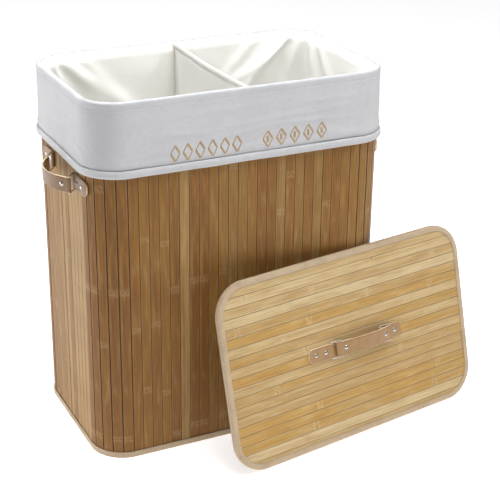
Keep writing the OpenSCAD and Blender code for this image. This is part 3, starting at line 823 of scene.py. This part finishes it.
def cuff_out(s, z):
    """How far outside the outline the cuff's cloth stands, at a distance round it and a height."""
    s, z = np.broadcast_arrays(s, z)
    hang = smooth((0.606 - z) / 0.02)
    low = smooth((0.545 - z) / 0.03)
    out = 0.0025 + 0.0004 * hang + 0.0014 * low * hang - 0.0010 * bell((z - HEM_TOP) / 0.0030)
    out = out + hang * (0.0009 * wavy(11.0, s * 8, z * 14) + 0.00032 * wavy(13.0, s * 34, z * 80))
    out = out + (0.0009 + 0.0010 * wavy(19.0, s * 14)) * bell((z - HEM_TOP - 0.0085) / 0.0045)
    out = out + low * 0.0005 * wavy(17.0, s * 55, z * 30)
    for x, height, run, width, depth, tilt in CREASES:
        across = (z - height) - tilt * (s - FRONT_MIDDLE - x)
        out = out + 2.6 * hang * depth * bell(across / width) * bell((s - FRONT_MIDDLE - x) / run)
    return np.maximum(out, 0.0021)


print(len(CREASES), "creases on", round(float(LENGTH), 3), "m of cuff")

# %% [markdown]
# The cuff runs up from its hem to a stitched line, rolls over the mat's top edge and ends tucked inside, all
# as one sheet. Its rolled edge is a little fuller in some places than in others.

# %% The cuff
cuff_path = outline(HALF_W, HALF_D, CORNER, 0.0045)
cuff_s = cuff_path[2][:, None]
face_z = np.linspace(HEM_TOP - 0.0004, 0.6065, 34)
ROLL = np.array([(0.0023, 0.6077), (0.0020, 0.6085), (0.0022, 0.6092), (0.0025, 0.6105), (0.0027, 0.6130),
                 (0.0028, 0.6155), (0.0026, 0.6174), (0.0020, 0.6187), (0.0010, 0.6195), (-0.0006, 0.6200),
                 (-0.0024, 0.6198), (-0.0040, 0.6190), (-0.0051, 0.6177), (-0.0057, 0.6160),
                 (-0.0058, 0.6130), (-0.0058, 0.6090)])
full = 0.00022 * wavy(21.0, cuff_s * 45, ROLL[:, 1] * 60)
face = wrap(cuff_path, cuff_out(cuff_s, face_z[None]), face_z[None])
dies_out = np.sin(np.linspace(0.3, math.pi, len(ROLL)))
rolled = wrap(cuff_path, ROLL[:, 0][None] + full * dies_out, ROLL[:, 1][None] + full * 0.6)
cuff_P = np.concatenate([face, rolled], 1)
walk = walk_along(cuff_P[10])
cuff = Mesh().grid(cuff_P, (True, False), cloth=per_point(cuff_s, walk[None]))
cuff_piece = cuff.piece("cuff", shaded_cuff_cotton, "liner", "cotton", "cuff_front", "cuff_back", "cuff_left",
                        "cuff_right", "liner_rim", solid=0.0009)
print("the cuff is", round(float(walk[-1]), 3), "m deep over its roll")

# %% [markdown]
# ## Hem
# The cuff's free edge is turned up twice and sewn, which makes a soft padded band. It is a closed tube with
# an oval section that swells and puckers between the stitches.

# %% The hem and the two rows of stitches
oval = round_angles(14)
swell = 1 + 0.16 * wavy(31.0, cuff_s * 70) + 0.10 * wavy(37.0, cuff_s * 22)
lift = 0.0006 * wavy(41.0, cuff_s * 16)
hem_mid = 0.0053 + 0.0005 * wavy(43.0, cuff_s * 12)
hem_out = hem_mid + 0.0031 * swell * squarish(np.cos(oval), 0.8)
hem_z = (CUFF_FOOT + HEM_TOP) / 2 + lift + 0.0062 * squarish(np.sin(oval), 0.7)
hem = Mesh().grid(wrap(cuff_path, hem_out, hem_z), (True, True), cloth=per_point(cuff_s, oval[None] * 0.004))
hem_piece = hem.piece("cuff_hem_roll", shaded_cuff_cotton, "liner", "cotton", "cuff_hem")
seams = Mesh()
seam_s = cuff_path[2]
for cloth_z, thread_z in ((0.6060, 0.6062), (0.5140, 0.5140)):
    seam_round(seams, cuff_path, cuff_out(seam_s, cloth_z) + 0.0004, np.full_like(seam_s, thread_z),
               pitch=0.0036, length=0.0026, thick=0.00035)
seam_piece = seams.piece("cuff_stitches", shaded_cuff_cotton, "liner", "cotton")

# %% [markdown]
# ## The bag
# The bag hangs from the rim with more cloth than the walls need. Its weight pulls slanting folds out of every
# corner, and it billows between them. The folds are ridges that start at the rim, lean away from the corner
# and die out lower down. A cloth simulation would do this too, but set folds fall in the right places.

# %% Folds in the bag's walls
BAG_TOP, BAG_FOOT, BAG_INSET = 0.6176, 0.0076, 0.0108
BACK_LEFT = STRAIGHT_X + CORNER * math.pi / 4
CORNERS = [BACK_LEFT, LENGTH / 2 - BACK_LEFT, LENGTH / 2 + BACK_LEFT, LENGTH - BACK_LEFT]
# Each fold: place round the rim, lean, width, depth, how far down it fades.
folds = [(0.242, -0.60, 0.007, 0.0065, 0.32), (0.222, -1.25, 0.014, 0.0070, 0.28),
         (0.205, -0.70, 0.008, 0.0035, 0.20), (0.262, -0.30, 0.008, 0.0045, 0.30),
         (0.180, -0.90, 0.010, 0.0035, 0.25), (0.290, 0.30, 0.010, 0.0040, 0.25),
         (LENGTH - 0.222, 1.05, 0.009, 0.0090, 0.28), (LENGTH - 0.196, 0.60, 0.008, 0.0075, 0.22),
         (LENGTH - 0.240, 1.65, 0.010, 0.0085, 0.28), (LENGTH - 0.160, 0.95, 0.009, 0.0050, 0.20),
         (LENGTH - 0.262, 0.45, 0.008, 0.0060, 0.30), (LENGTH - 0.284, -0.40, 0.010, 0.0060, 0.26),
         (LENGTH - 0.310, -0.80, 0.010, 0.0050, 0.24)]
for corner in CORNERS[1:3]:
    for k in range(5):
        folds.append((corner + rng.uniform(-0.05, 0.05), rng.uniform(-1.3, 1.3), rng.uniform(0.008, 0.012),
                      rng.uniform(0.004, 0.008), rng.uniform(0.2, 0.3)))


def leaving_rim(z):
    """The bag starts on the rolled edge and moves inwards as it passes the hoop."""
    return 0.0046 * (1 - smooth((BAG_TOP - z - 0.002) / 0.0125))


def bag_in(s, z):
    """How far the bag's cloth hangs inside the outline."""
    s, z = np.broadcast_arrays(s, z)
    drop = BAG_TOP - z
    tied = smooth(np.abs(s - FRONT_MIDDLE) / 0.05) * smooth(np.minimum(s, LENGTH - s) / 0.05)
    low = smooth((z - BAG_FOOT) / 0.05)
    hang = smooth(drop / 0.05)
    billow = 0.0035 + 0.0035 * wavy(51.0, s * 7, z * 5) + 0.0016 * wavy(53.0, s * 22, z * 11)
    push = billow * hang
    for start, lean, width, depth, fade in folds:
        across = (s - start - lean * drop) / (width + 0.10 * drop)
        push = push + depth * bell(across) * smooth(drop / 0.018) * np.exp(-drop / fade)
    at_corner = sum(bell((s - c) / 0.05) for c in CORNERS)
    gather = 0.0014 * np.sin(s * 2 * math.pi / 0.012 + 4 * wavy(57.0, s * 25))
    push = push + (gather + 0.0012) * at_corner * smooth(drop / 0.004) * np.exp(-drop / 0.035)
    return BAG_INSET - leaving_rim(z) + np.maximum(push * low * (0.25 + 0.75 * tied), -0.0002)


print(len(folds), "folds set")

# %% [markdown]
# The walls are one sheet round the whole bag, with closer rows of points in its upper part, where the folds
# are.

# %% The bag's walls
bag_path = outline(HALF_W, HALF_D, CORNER, 0.005)
bag_s = bag_path[2][:, None]
bag_z = np.concatenate([BAG_TOP - np.linspace(0, 0.25, 56), np.linspace(0.350, BAG_FOOT, 34)])
walls = Mesh().grid(wrap(bag_path, -bag_in(bag_s, bag_z[None]), bag_z[None]), (True, False),
                    cloth=per_point(bag_s, bag_z[None]))
wall_piece = walls.piece("bag_walls", bag_cotton, "liner", "cotton", "liner_front", "liner_back",
                         "liner_left", "liner_right", solid=0.0007)

# %% [markdown]
# ## Floor of the bag, and the flat cloths of the base and lid
# A flat cloth with round corners is a grid whose rows get shorter towards the ends. The bag's floor lies on
# the base board, one cloth closes the base, and another is glued under the lid's slats.

# %% Flat cloths
def plate(half_w, half_d, r, across, deep):
    """x and y of a grid that fills a rounded rectangle."""
    y = half_d * np.sin(np.linspace(-math.pi / 2, math.pi / 2, deep)) * 0.9999
    past = np.clip(np.abs(y) - (half_d - r), 0, r)
    reach = half_w - r + np.sqrt(r * r - past ** 2)
    return reach[:, None] * np.linspace(-1, 1, across)[None], np.broadcast_to(y[:, None], (deep, across))


def flat_cloth(name, material, body, node, slot, size, put, **how):
    """One sheet that fills a rounded rectangle; put(x, y) gives the points, and `how` its thickness and its
    flat state, which is not used.
    """
    x, y = plate(*size, 60, 40)
    cloth = Mesh().grid(put(x, y), cloth=per_point(x, y))
    piece = cloth.piece(name, material, body, slot, node, solid=how.pop("thick"))


inset = 0.0112
flat_cloth("bag_floor", bag_cotton, "liner", "liner_floor", "cotton",
           (HALF_W - inset, HALF_D - inset, CORNER - inset),
           lambda x, y: per_point(x, y, 0.0063 + 0.0003 * wavy(61.0, x * 30, y * 30)),
           thick=0.0007, flat=(0.498, 0.288), held="laid", rests_on=["base_board"])
base_x, base_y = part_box("base_cloth")[1][:2]
flat_cloth("base_sheet", backing_cloth, "hamper", "base_cloth", "backing_cloth",
           (base_x, base_y, CORNER + base_x - HALF_W),
           lambda x, y: per_point(x, y, 0.0005 + 0.00008 * wavy(63.0, x * 20, y * 20)),
           thick=0.0008, flat=(2 * base_x, 2 * base_y), held="stretched", rests_on=["bottom_tape"])
inset = 0.0012
flat_cloth("lid_glued_cloth", backing_cloth, "lid", "lid_backing", "backing_cloth",
           (LID_W / 2 - inset, LID_D / 2 - inset, LID_R - inset),
           lambda x, y: on_lid(x, y + LID_D / 2, -SLAT_T - 0.0004),
           thick=0.0006, flat=(LID_W - 2 * inset, LID_D - 2 * inset), held="stretched",
           rests_on=["lid_board"])

# %% [markdown]
# ## Divider
# The divider is one sheet sewn between the front and back of the bag. Its top is turned over as a hem, which
# sags a little between the two ends, and a corded seam holds it at each end.

# %% The divider and its hem
DIV_HALF, DIV_TOP = 0.1432, 0.6145


def across_bag(y, z):
    """The divider's ends lean outwards with the bag's walls, where those leave the rim."""
    return y * (1 + leaving_rim(z) / DIV_HALF)


y_line = np.linspace(-DIV_HALF, DIV_HALF, 60)
sag = 0.0030 * (1 - (y_line / DIV_HALF) ** 2) + 0.0010 * wavy(71.0, y_line * 25)
levels = np.linspace(0, 1, 46)
div_top = DIV_TOP - sag
div_z = BAG_FOOT + (div_top[:, None] - BAG_FOOT) * levels[None]
tied = 1 - (np.abs(y_line) / DIV_HALF)[:, None] ** 4
div_x = tied * (0.0035 * wavy(73.0, y_line[:, None] * 9, div_z * 7)
                + 0.0012 * wavy(75.0, y_line[:, None] * 26, div_z * 15)) * smooth(levels / 0.06)
div_y = across_bag(y_line[:, None], div_z)
divider = Mesh().grid(per_point(div_x, div_y, div_z), cloth=per_point(div_y, div_z))
divider_piece = divider.piece("divider", bag_cotton, "liner", "cotton", "liner_divider", solid=0.0012)
hem_ring = round_angles(12)
thick = 0.0021 * (1 + 0.12 * wavy(77.0, y_line * 60))[:, None]
dh_x = div_x[:, -1:] + thick * squarish(np.cos(hem_ring), 0.8)
dh_z = div_top[:, None] + 0.0003 + 0.0046 * squarish(np.sin(hem_ring), 0.8)
dh_y = across_bag(y_line[:, None], dh_z)
div_hem = Mesh().grid(per_point(dh_x, dh_y, dh_z), (False, True), caps=True, cloth=per_point(dh_y, dh_z))
div_hem_piece = div_hem.piece("divider_hem", bag_cotton, "liner", "cotton")

# %% [markdown]
# The corded seams are thin tubes that run down the bag's front and back walls, and the divider's hem is sewn
# through from both sides.

# %% The divider's corded seams and stitches
cord_ring = round_angles(8)
cord = Mesh()
for y_end in (0.1425, -0.1425):
    cord_z = np.linspace(0.6165, 0.0080, 120)[:, None]
    cx = 0.0004 * wavy(79.0, cord_z * 40) + 0.0022 * np.cos(cord_ring)
    cy = across_bag(y_end, cord_z) + 0.0016 * np.sin(cord_ring)
    cord.grid(per_point(cx, cy, cord_z), (False, True), caps=True, cloth=per_point(cx, cord_z))
cord_piece = cord.piece("divider_seams", seam_cotton, "liner", "cotton")
div_sewing = Mesh()
for side in (-1, 1):
    line = np.stack([div_x[:, -1] + side * 0.0011, y_line, div_top - 0.0050], -1)
    stitches(div_sewing, line, np.tile([side, 0.0, 0.0], (len(line), 1)), thick=0.00035)
div_sewn = div_sewing.piece("divider_stitches", bag_cotton, "liner", "cotton")

# %% [markdown]
# ## Leather
# Straps and tabs are cut from vegetable-tanned hide: a fine pebbled grain on the face, a soft shine, a line
# pressed in near each edge, and pale raw edges where it was cut. The finish reads how far along and across
# the strip a point is, and whether it is on a cut edge. The side handles get the same hide made darker,
# which is painted shade.

# %% Leather finish
def leather(name, tone):
    f = Finish(name, Specular_IOR_Level=0.4, Coat_Roughness=0.3)
    along, across, edge = f.field("hide")
    spot = f.vector(along, across, 0.0)
    grain = f.node("ShaderNodeTexVoronoi", {"feature": "F1"}, {"Vector": spot, "Scale": 1500.0}, "Distance")
    pores = f.noise(spot, 2600.0, 2.0)
    cloud = f.noise(spot, 70.0, 3.0)
    scuff = f.streaks(along * 90, across * 900, 0.0, 3.0)
    base = f.colours(cloud, (0.25, darker(tone, 0.84)), (0.55, tone), (0.85, darker(tone, 1.17)))
    base = f.blend(pores.ramp(0.55, 0.75) * 0.25, base, (0.28, 0.14, 0.055))
    base = f.blend(scuff.ramp(0.62, 0.8) * 0.25, base, (0.62, 0.42, 0.25))
    raw = f.colours(f.noise(spot, 900.0, 2.0), (0.3, (0.84, 0.66, 0.43)), (0.7, (0.96, 0.84, 0.62)))
    base = f.blend(edge.ramp(0.1, 0.6), base, raw)
    crease = across.abs().ramp(0.0090, 0.0100) * across.abs().ramp(0.0112, 0.0102)
    base = f.blend(crease * 0.30, base, (0.16, 0.08, 0.035))
    f.feed(Base_Color=base, Roughness=edge * 0.35 + cloud * 0.16 + 0.32, Coat_Weight=0.12 - edge * 0.12)
    f.bump(grain * 0.7 + pores * 0.3 + scuff * 0.3 - crease, 0.00014, 0.6)
    return f.material


tan_leather = leather("tan_leather", (0.400, 0.236, 0.108))
# The sides' leather is the same hide made darker, which is painted shade.
shaded_side_leather = leather("shaded_side_leather", (0.250, 0.142, 0.076))
print("tan leather for the lid, darker worn leather for the sides")

# %% [markdown]
# ## Strips of leather
# A tab or a strap is one strip folded round wire bars, so it is drawn as its middle line in the plane of the
# handle: x along the strap and y away from the wall. The strip's section has softened edges, and its width
# can shrink towards a rounded end.

# %% One strip
STRAP_W, HIDE = 0.025, 0.0015
PIVOT, LOOP, RING = 0.0535, 0.0028, 0.020
TAB_END, TAB_ROUND = 0.102, 0.009
BEND = 0.00205
SECTION = [(-1, 0.0, -0.5), (-1, 0.0, 0.5), (-1, 0.00035, 0.93), (-1, 0.0012, 1.0), (0, 0.0, 1.0),
           (1, 0.0012, 1.0), (1, 0.00035, 0.93), (1, 0.0, 0.5), (1, 0.0, -0.5), (1, 0.00035, -0.93),
           (1, 0.0012, -1.0), (0, 0.0, -1.0), (-1, 0.0012, -1.0), (-1, 0.00035, -0.93)]


def strip(mesh, line, place, hand, rounded=(False, False)):
    """Adds a strip along a line of (x, y) points; hand says on which side of the line its face is."""
    line = np.array(line)
    walked = walk_along(line)
    ends = np.array([0, 0.0003, 0.001, 0.002, 0.0035, 0.005, 0.007, 0.009])
    at = np.unique(np.concatenate([walked[1:-1], ends, walked[-1] - ends]).round(6))
    at = at[(at >= 0) & (at <= walked[-1])]
    x, y = np.interp(at, walked, line[:, 0]), np.interp(at, walked, line[:, 1])
    way = np.stack([np.gradient(x, at), np.gradient(y, at)], -1)
    way /= np.linalg.norm(way, axis=1)[:, None]
    face = np.stack([-way[:, 1], way[:, 0]], -1) * hand
    half = np.full(len(at), STRAP_W / 2)
    for far, away in ((rounded[0], at), (rounded[1], walked[-1] - at)):
        if far:
            d = np.clip(away, 0, TAB_ROUND)
            half = np.minimum(half, STRAP_W / 2 - TAB_ROUND + np.sqrt(TAB_ROUND ** 2 - (TAB_ROUND - d) ** 2))
    side, inset, level = np.array(SECTION).T
    level = level * HIDE / 2
    z = side[None] * (half[:, None] - inset[None])
    px = x[:, None] + face[:, :1] * level[None]
    py = y[:, None] + face[:, 1:] * level[None]
    cut = np.broadcast_to(((inset == 0) & (side != 0)).astype(float), z.shape).copy()
    cut[[0, -1]] = 1
    mesh.grid(place(px, py, z), (False, True), caps=True, hide=per_point(at[:, None], z, cut))


print("a strip's section has", len(SECTION), "points")

# %% [markdown]
# A tab's line runs in along the wall, round the bar and back over itself. A strap's line is an arc whose
# ends fold in round the rings' outer bars.

# %% The middle lines of a tab and of a strap
def tab_line():
    """From the end of the lower layer, round the bar, and back over the top."""
    low = [(x, HIDE / 2) for x in np.linspace(-TAB_END, -PIVOT, 22)]
    turn = [(-PIVOT + BEND * math.sin(a), LOOP - BEND * math.cos(a)) for a in np.linspace(0.25, math.pi, 12)]
    high = []
    for x in np.linspace(0.0012, TAB_END - PIVOT, 24):
        drop = float(smooth(x / 0.0095))
        high.append((-PIVOT - x, LOOP + BEND - drop * (LOOP + BEND - HIDE * 1.5)))
    return low + turn + high


def strap_line(angle, bow, slack=0.0):
    """A bowed strap whose ends fold inwards round the rings' outer bars."""
    r = (PIVOT ** 2 + bow ** 2) / (2 * bow)
    a = math.asin(PIVOT / r)
    middle = np.array([-RING * math.cos(angle), LOOP + RING * math.sin(angle) + bow - r])
    flap, e = 0.027 / r, a + slack / r

    def gap(t):
        left, right = (t + a) * r / 0.007, (a - t) * r / (0.0033 if slack else 0.007)
        near = max(1 - float(smooth(left)), 1 - float(smooth(right)))
        return HIDE / 2 + near * (BEND - HIDE / 2)

    def at(t, out):
        return middle + (r + out) * np.array([math.sin(t), math.cos(t)])

    def fold(t, way, start, stop):
        bar, out = at(t, 0), np.array([math.sin(t), math.cos(t)])
        tangent = way * np.array([math.cos(t), -math.sin(t)])
        return [bar + BEND * (out * math.cos(p) + tangent * math.sin(p))
                for p in np.linspace(start, stop, 12)]

    line = [at(t, -gap(t)) for t in np.linspace(-a + flap, -a, 16)[:-1]]
    line += fold(-a, -1, math.pi, 0)
    line += [at(t, gap(t)) for t in np.linspace(-a, e, 60)[1:-1]]
    line += fold(e, 1, 0, math.pi)
    line += [at(t, -gap(t)) for t in np.linspace(e, e - flap, 16)[1:]]
    return line


print("a tab's line has", len(tab_line()), "points")

# %% [markdown]
# ## Handles
# The same handle hangs on both ends of the body and on the lid. On the body its front tab reaches the
# corner and bends round it.

# %% Handles on the body
HANDLE_Z = 0.475
SHIFT, LIFT = 0.017, 0.0006
WRAP_FROM, WRAP_R = HALF_D - CORNER - SHIFT + 0.004, CORNER + 0.00065


def on_side(mirror, wrapped):
    def place(x, y, z):
        if wrapped:
            turn = np.maximum(-WRAP_FROM - x, 0) / WRAP_R
            past = turn > 0
            x = np.where(past, -WRAP_FROM - (WRAP_R + y) * np.sin(turn), x)
            y = np.where(past, -WRAP_R + (WRAP_R + y) * np.cos(turn), y)
        return np.stack([mirror * (HALF_W + LIFT + y), x - SHIFT, HANDLE_Z + z], -1)
    return place


def turned(place):
    """The same place with the handle's other end first."""
    return lambda x, y, z: place(-x, y, z)


def handle(name, hide, body, tabs, line, strap_place):
    """Two tabs that ride on a body, and a strap that rides on its own."""
    for end, place in tabs:
        tab = Mesh()
        strip(tab, tab_line(), place, -1, (True, True))
        tab.piece(f"{name}_{end}_leather_tab", hide, body, "leather", f"{name}_{end}_tab")
    strap = Mesh()
    strip(strap, line, strap_place, 1)
    strap.piece(f"{name}_leather_strap", hide, f"{name}_strap", "leather", f"{name}_strap")


SIDE_ANGLE, SIDE_BOW = math.radians(42), 0.021
for side, mirror in (("left", -1), ("right", 1)):
    plain = on_side(mirror, False)
    handle(side, shaded_side_leather, "hamper", (("front", on_side(mirror, True)), ("back", turned(plain))),
           strap_line(SIDE_ANGLE, SIDE_BOW), plain)

# %% [markdown]
# The lid's handle lies nearly flat on its slats, and its strap is a little too long for it, so one end runs
# past the bar before it folds back.

# %% Handle on the lid
LID_SHIFT, LID_LIFT = 0.0073, 0.00005


def on_lid_handle(x, y, z):
    return on_lid(LID_SHIFT - x, LID_D / 2 + z, LID_LIFT + y)


LID_ANGLE, LID_BOW, LID_SLACK = math.radians(12), 0.006, 0.009
handle("lid", tan_leather, "lid", (("right", on_lid_handle), ("left", turned(on_lid_handle))),
       strap_line(LID_ANGLE, LID_BOW, LID_SLACK), on_lid_handle)

# %% [markdown]
# ## Embroidery
# Two rows of lozenges in gold thread mark the two compartments: open ones for one kind of washing and filled
# ones for the other. Each stroke is a low ridge of satin stitch that lies on the cuff, and the finish draws
# its threads across it and a darker outline.

# %% Gold thread and its finish
def satin(name):
    f = Finish(name, Specular_IOR_Level=0.5, Sheen_Weight=0.2)
    along, across, seed = f.field("satin")
    threads = ((along + across * 0.35) / 0.0007).fract()
    rise = (threads - 0.5).abs() * 2
    shine = f.streaks(along * 260, across * 90, seed * 9)
    gold = f.colours(shine, (0.25, (0.28, 0.16, 0.060)), (0.5, (0.50, 0.33, 0.15)), (0.8, (0.74, 0.56, 0.31)))
    edge = across.abs().ramp(0.55, 0.95)
    gold = f.blend(edge * 0.7, gold, (0.20, 0.115, 0.045))
    gold = f.blend(rise.ramp(0.6, 1.0) * 0.35, gold, (0.30, 0.18, 0.07))
    f.feed(Base_Color=gold, Roughness=shine * 0.2 + 0.3)
    f.bump(rise, 0.0002, 0.7)
    return f.material


gold_thread = satin("gold_thread")
print("gold thread ready")

# %% [markdown]
# A stroke is one ridge, wide strokes and thin ones take turns round a lozenge, and all of them together are
# one piece.

# %% The two rows of lozenges
def stroke(mesh, a, b, wide, seed):
    """A ridge of satin stitch from a to b: metres from the cuff's middle, and metres above the floor."""
    a, b = np.array(a), np.array(b)
    length = float(np.linalg.norm(b - a))
    t = np.linspace(0, 1, max(4, round(length / 0.0012)))[:, None]
    way = (b - a) / length
    cross = np.array([-way[1], way[0]])
    span = np.array([-1, -0.8, -0.35, 0.35, 0.8, 1, 0])
    rise = np.array([0.0, 0.6, 1.0, 1.0, 0.6, 0.0, -0.8]) * min(0.0006, wide * 0.35)
    taper = np.minimum(1, 0.5 + 8 * np.minimum(t, 1 - t))
    x = a[0] + (b - a)[0] * t + cross[0] * span * wide / 2 * taper
    z = a[1] + (b - a)[1] * t + cross[1] * span * wide / 2 * taper
    out = cuff_out(FRONT_MIDDLE + x, z) + 0.00048 + rise * taper
    mesh.grid(per_point(x, -HALF_D - out, z), (False, True), caps=True,
              satin=per_point(t * length, span, seed))


THICK_STROKE, THIN_STROKE = 0.0034, 0.0018


def lozenge(mesh, x, z, wide, high, filled, seed):
    left, right, top, foot = (x - wide / 2, z), (x + wide / 2, z), (x, z + high / 2), (x, z - high / 2)
    stroke(mesh, foot, left, THICK_STROKE, seed)
    stroke(mesh, left, top, THIN_STROKE, seed + 0.2)
    stroke(mesh, top, right, THICK_STROKE, seed + 0.4)
    stroke(mesh, right, foot, THIN_STROKE, seed + 0.6)
    if filled:
        stroke(mesh, (x - wide * 0.02, z + high * 0.2), (x, z - high * 0.2), 0.0042, seed + 0.8)


marks = Mesh()
for k in range(6):
    lozenge(marks, -0.1275 + k * 0.0212, 0.529 + 0.0004 * k, 0.0155, 0.026, False, k * 1.0)
for k in range(5):
    lozenge(marks, 0.0325 + k * 0.0244, 0.5315 + 0.0004 * k, 0.0175, 0.026, True, 10.0 + k)
marks.piece("cuff_embroidery", gold_thread, "liner", "cotton")

# %% [markdown]
# ## Metal and board
# Rivets, caps, rings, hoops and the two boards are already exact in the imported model, so they keep their
# shape and only get a finish. The steel is nickel plated, with faint scratches and worn spots.

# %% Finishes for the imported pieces
def steel(name, colour, rough):
    f = Finish(name, Metallic=1.0)
    spot = f.place()
    wear = f.noise(spot, 380.0, 3.0)
    scratch = f.noise(f.node("ShaderNodeMapping", {}, {0: spot, 3: (2400, 300, 2400)}), 1.0, 2.0)
    f.feed(Base_Color=f.blend(wear.ramp(0.55, 0.8) * 0.5, colour, darker(colour, 0.7)),
           Roughness=wear * 0.16 + scratch * 0.1 + (rough - 0.1))
    f.bump(scratch + wear, 0.00003, 0.5)
    return f.material


def board(name):
    f = Finish(name, Roughness=0.8)
    fibres = f.noise(f.place(), 700.0, 4.0, 0.7)
    cloud = f.noise(f.place(), 30.0, 2.0)
    mix = fibres * 0.6 + cloud * 0.4
    f.feed(Base_Color=f.colours(mix, (0.3, (0.19, 0.13, 0.08)), (0.7, (0.32, 0.23, 0.15))))
    f.bump(fibres, 0.0003, 0.6)
    return f.material


SIDES = ("left", "right")
KEPT = {steel("nickel_steel", (0.50, 0.48, 0.46), 0.22):
        ["side_tab_rivets", "side_rivet_caps", "lid_tab_rivets", "lid_rivet_caps", "lid_strap_rivets"]
        + [side + "_strap_rivets" for side in SIDES],
        steel("wire_steel", (0.60, 0.53, 0.45), 0.30):
        ["lid_left_ring", "lid_right_ring", "top_hoop", "bottom_hoop", "lid_edge_wire"]
        + [f"{side}_{end}_ring" for side in SIDES for end in ("front", "back")],
        board("fibreboard"): ["base_board", "lid_board"]}
for material, names in KEPT.items():
    for name in names:
        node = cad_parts[name]
        if not node.material_slots:
            node.data.materials.append(material)
        for place in node.material_slots:
            place.material = material
print("packed pieces kept:", sum(len(n) for n in KEPT.values()))
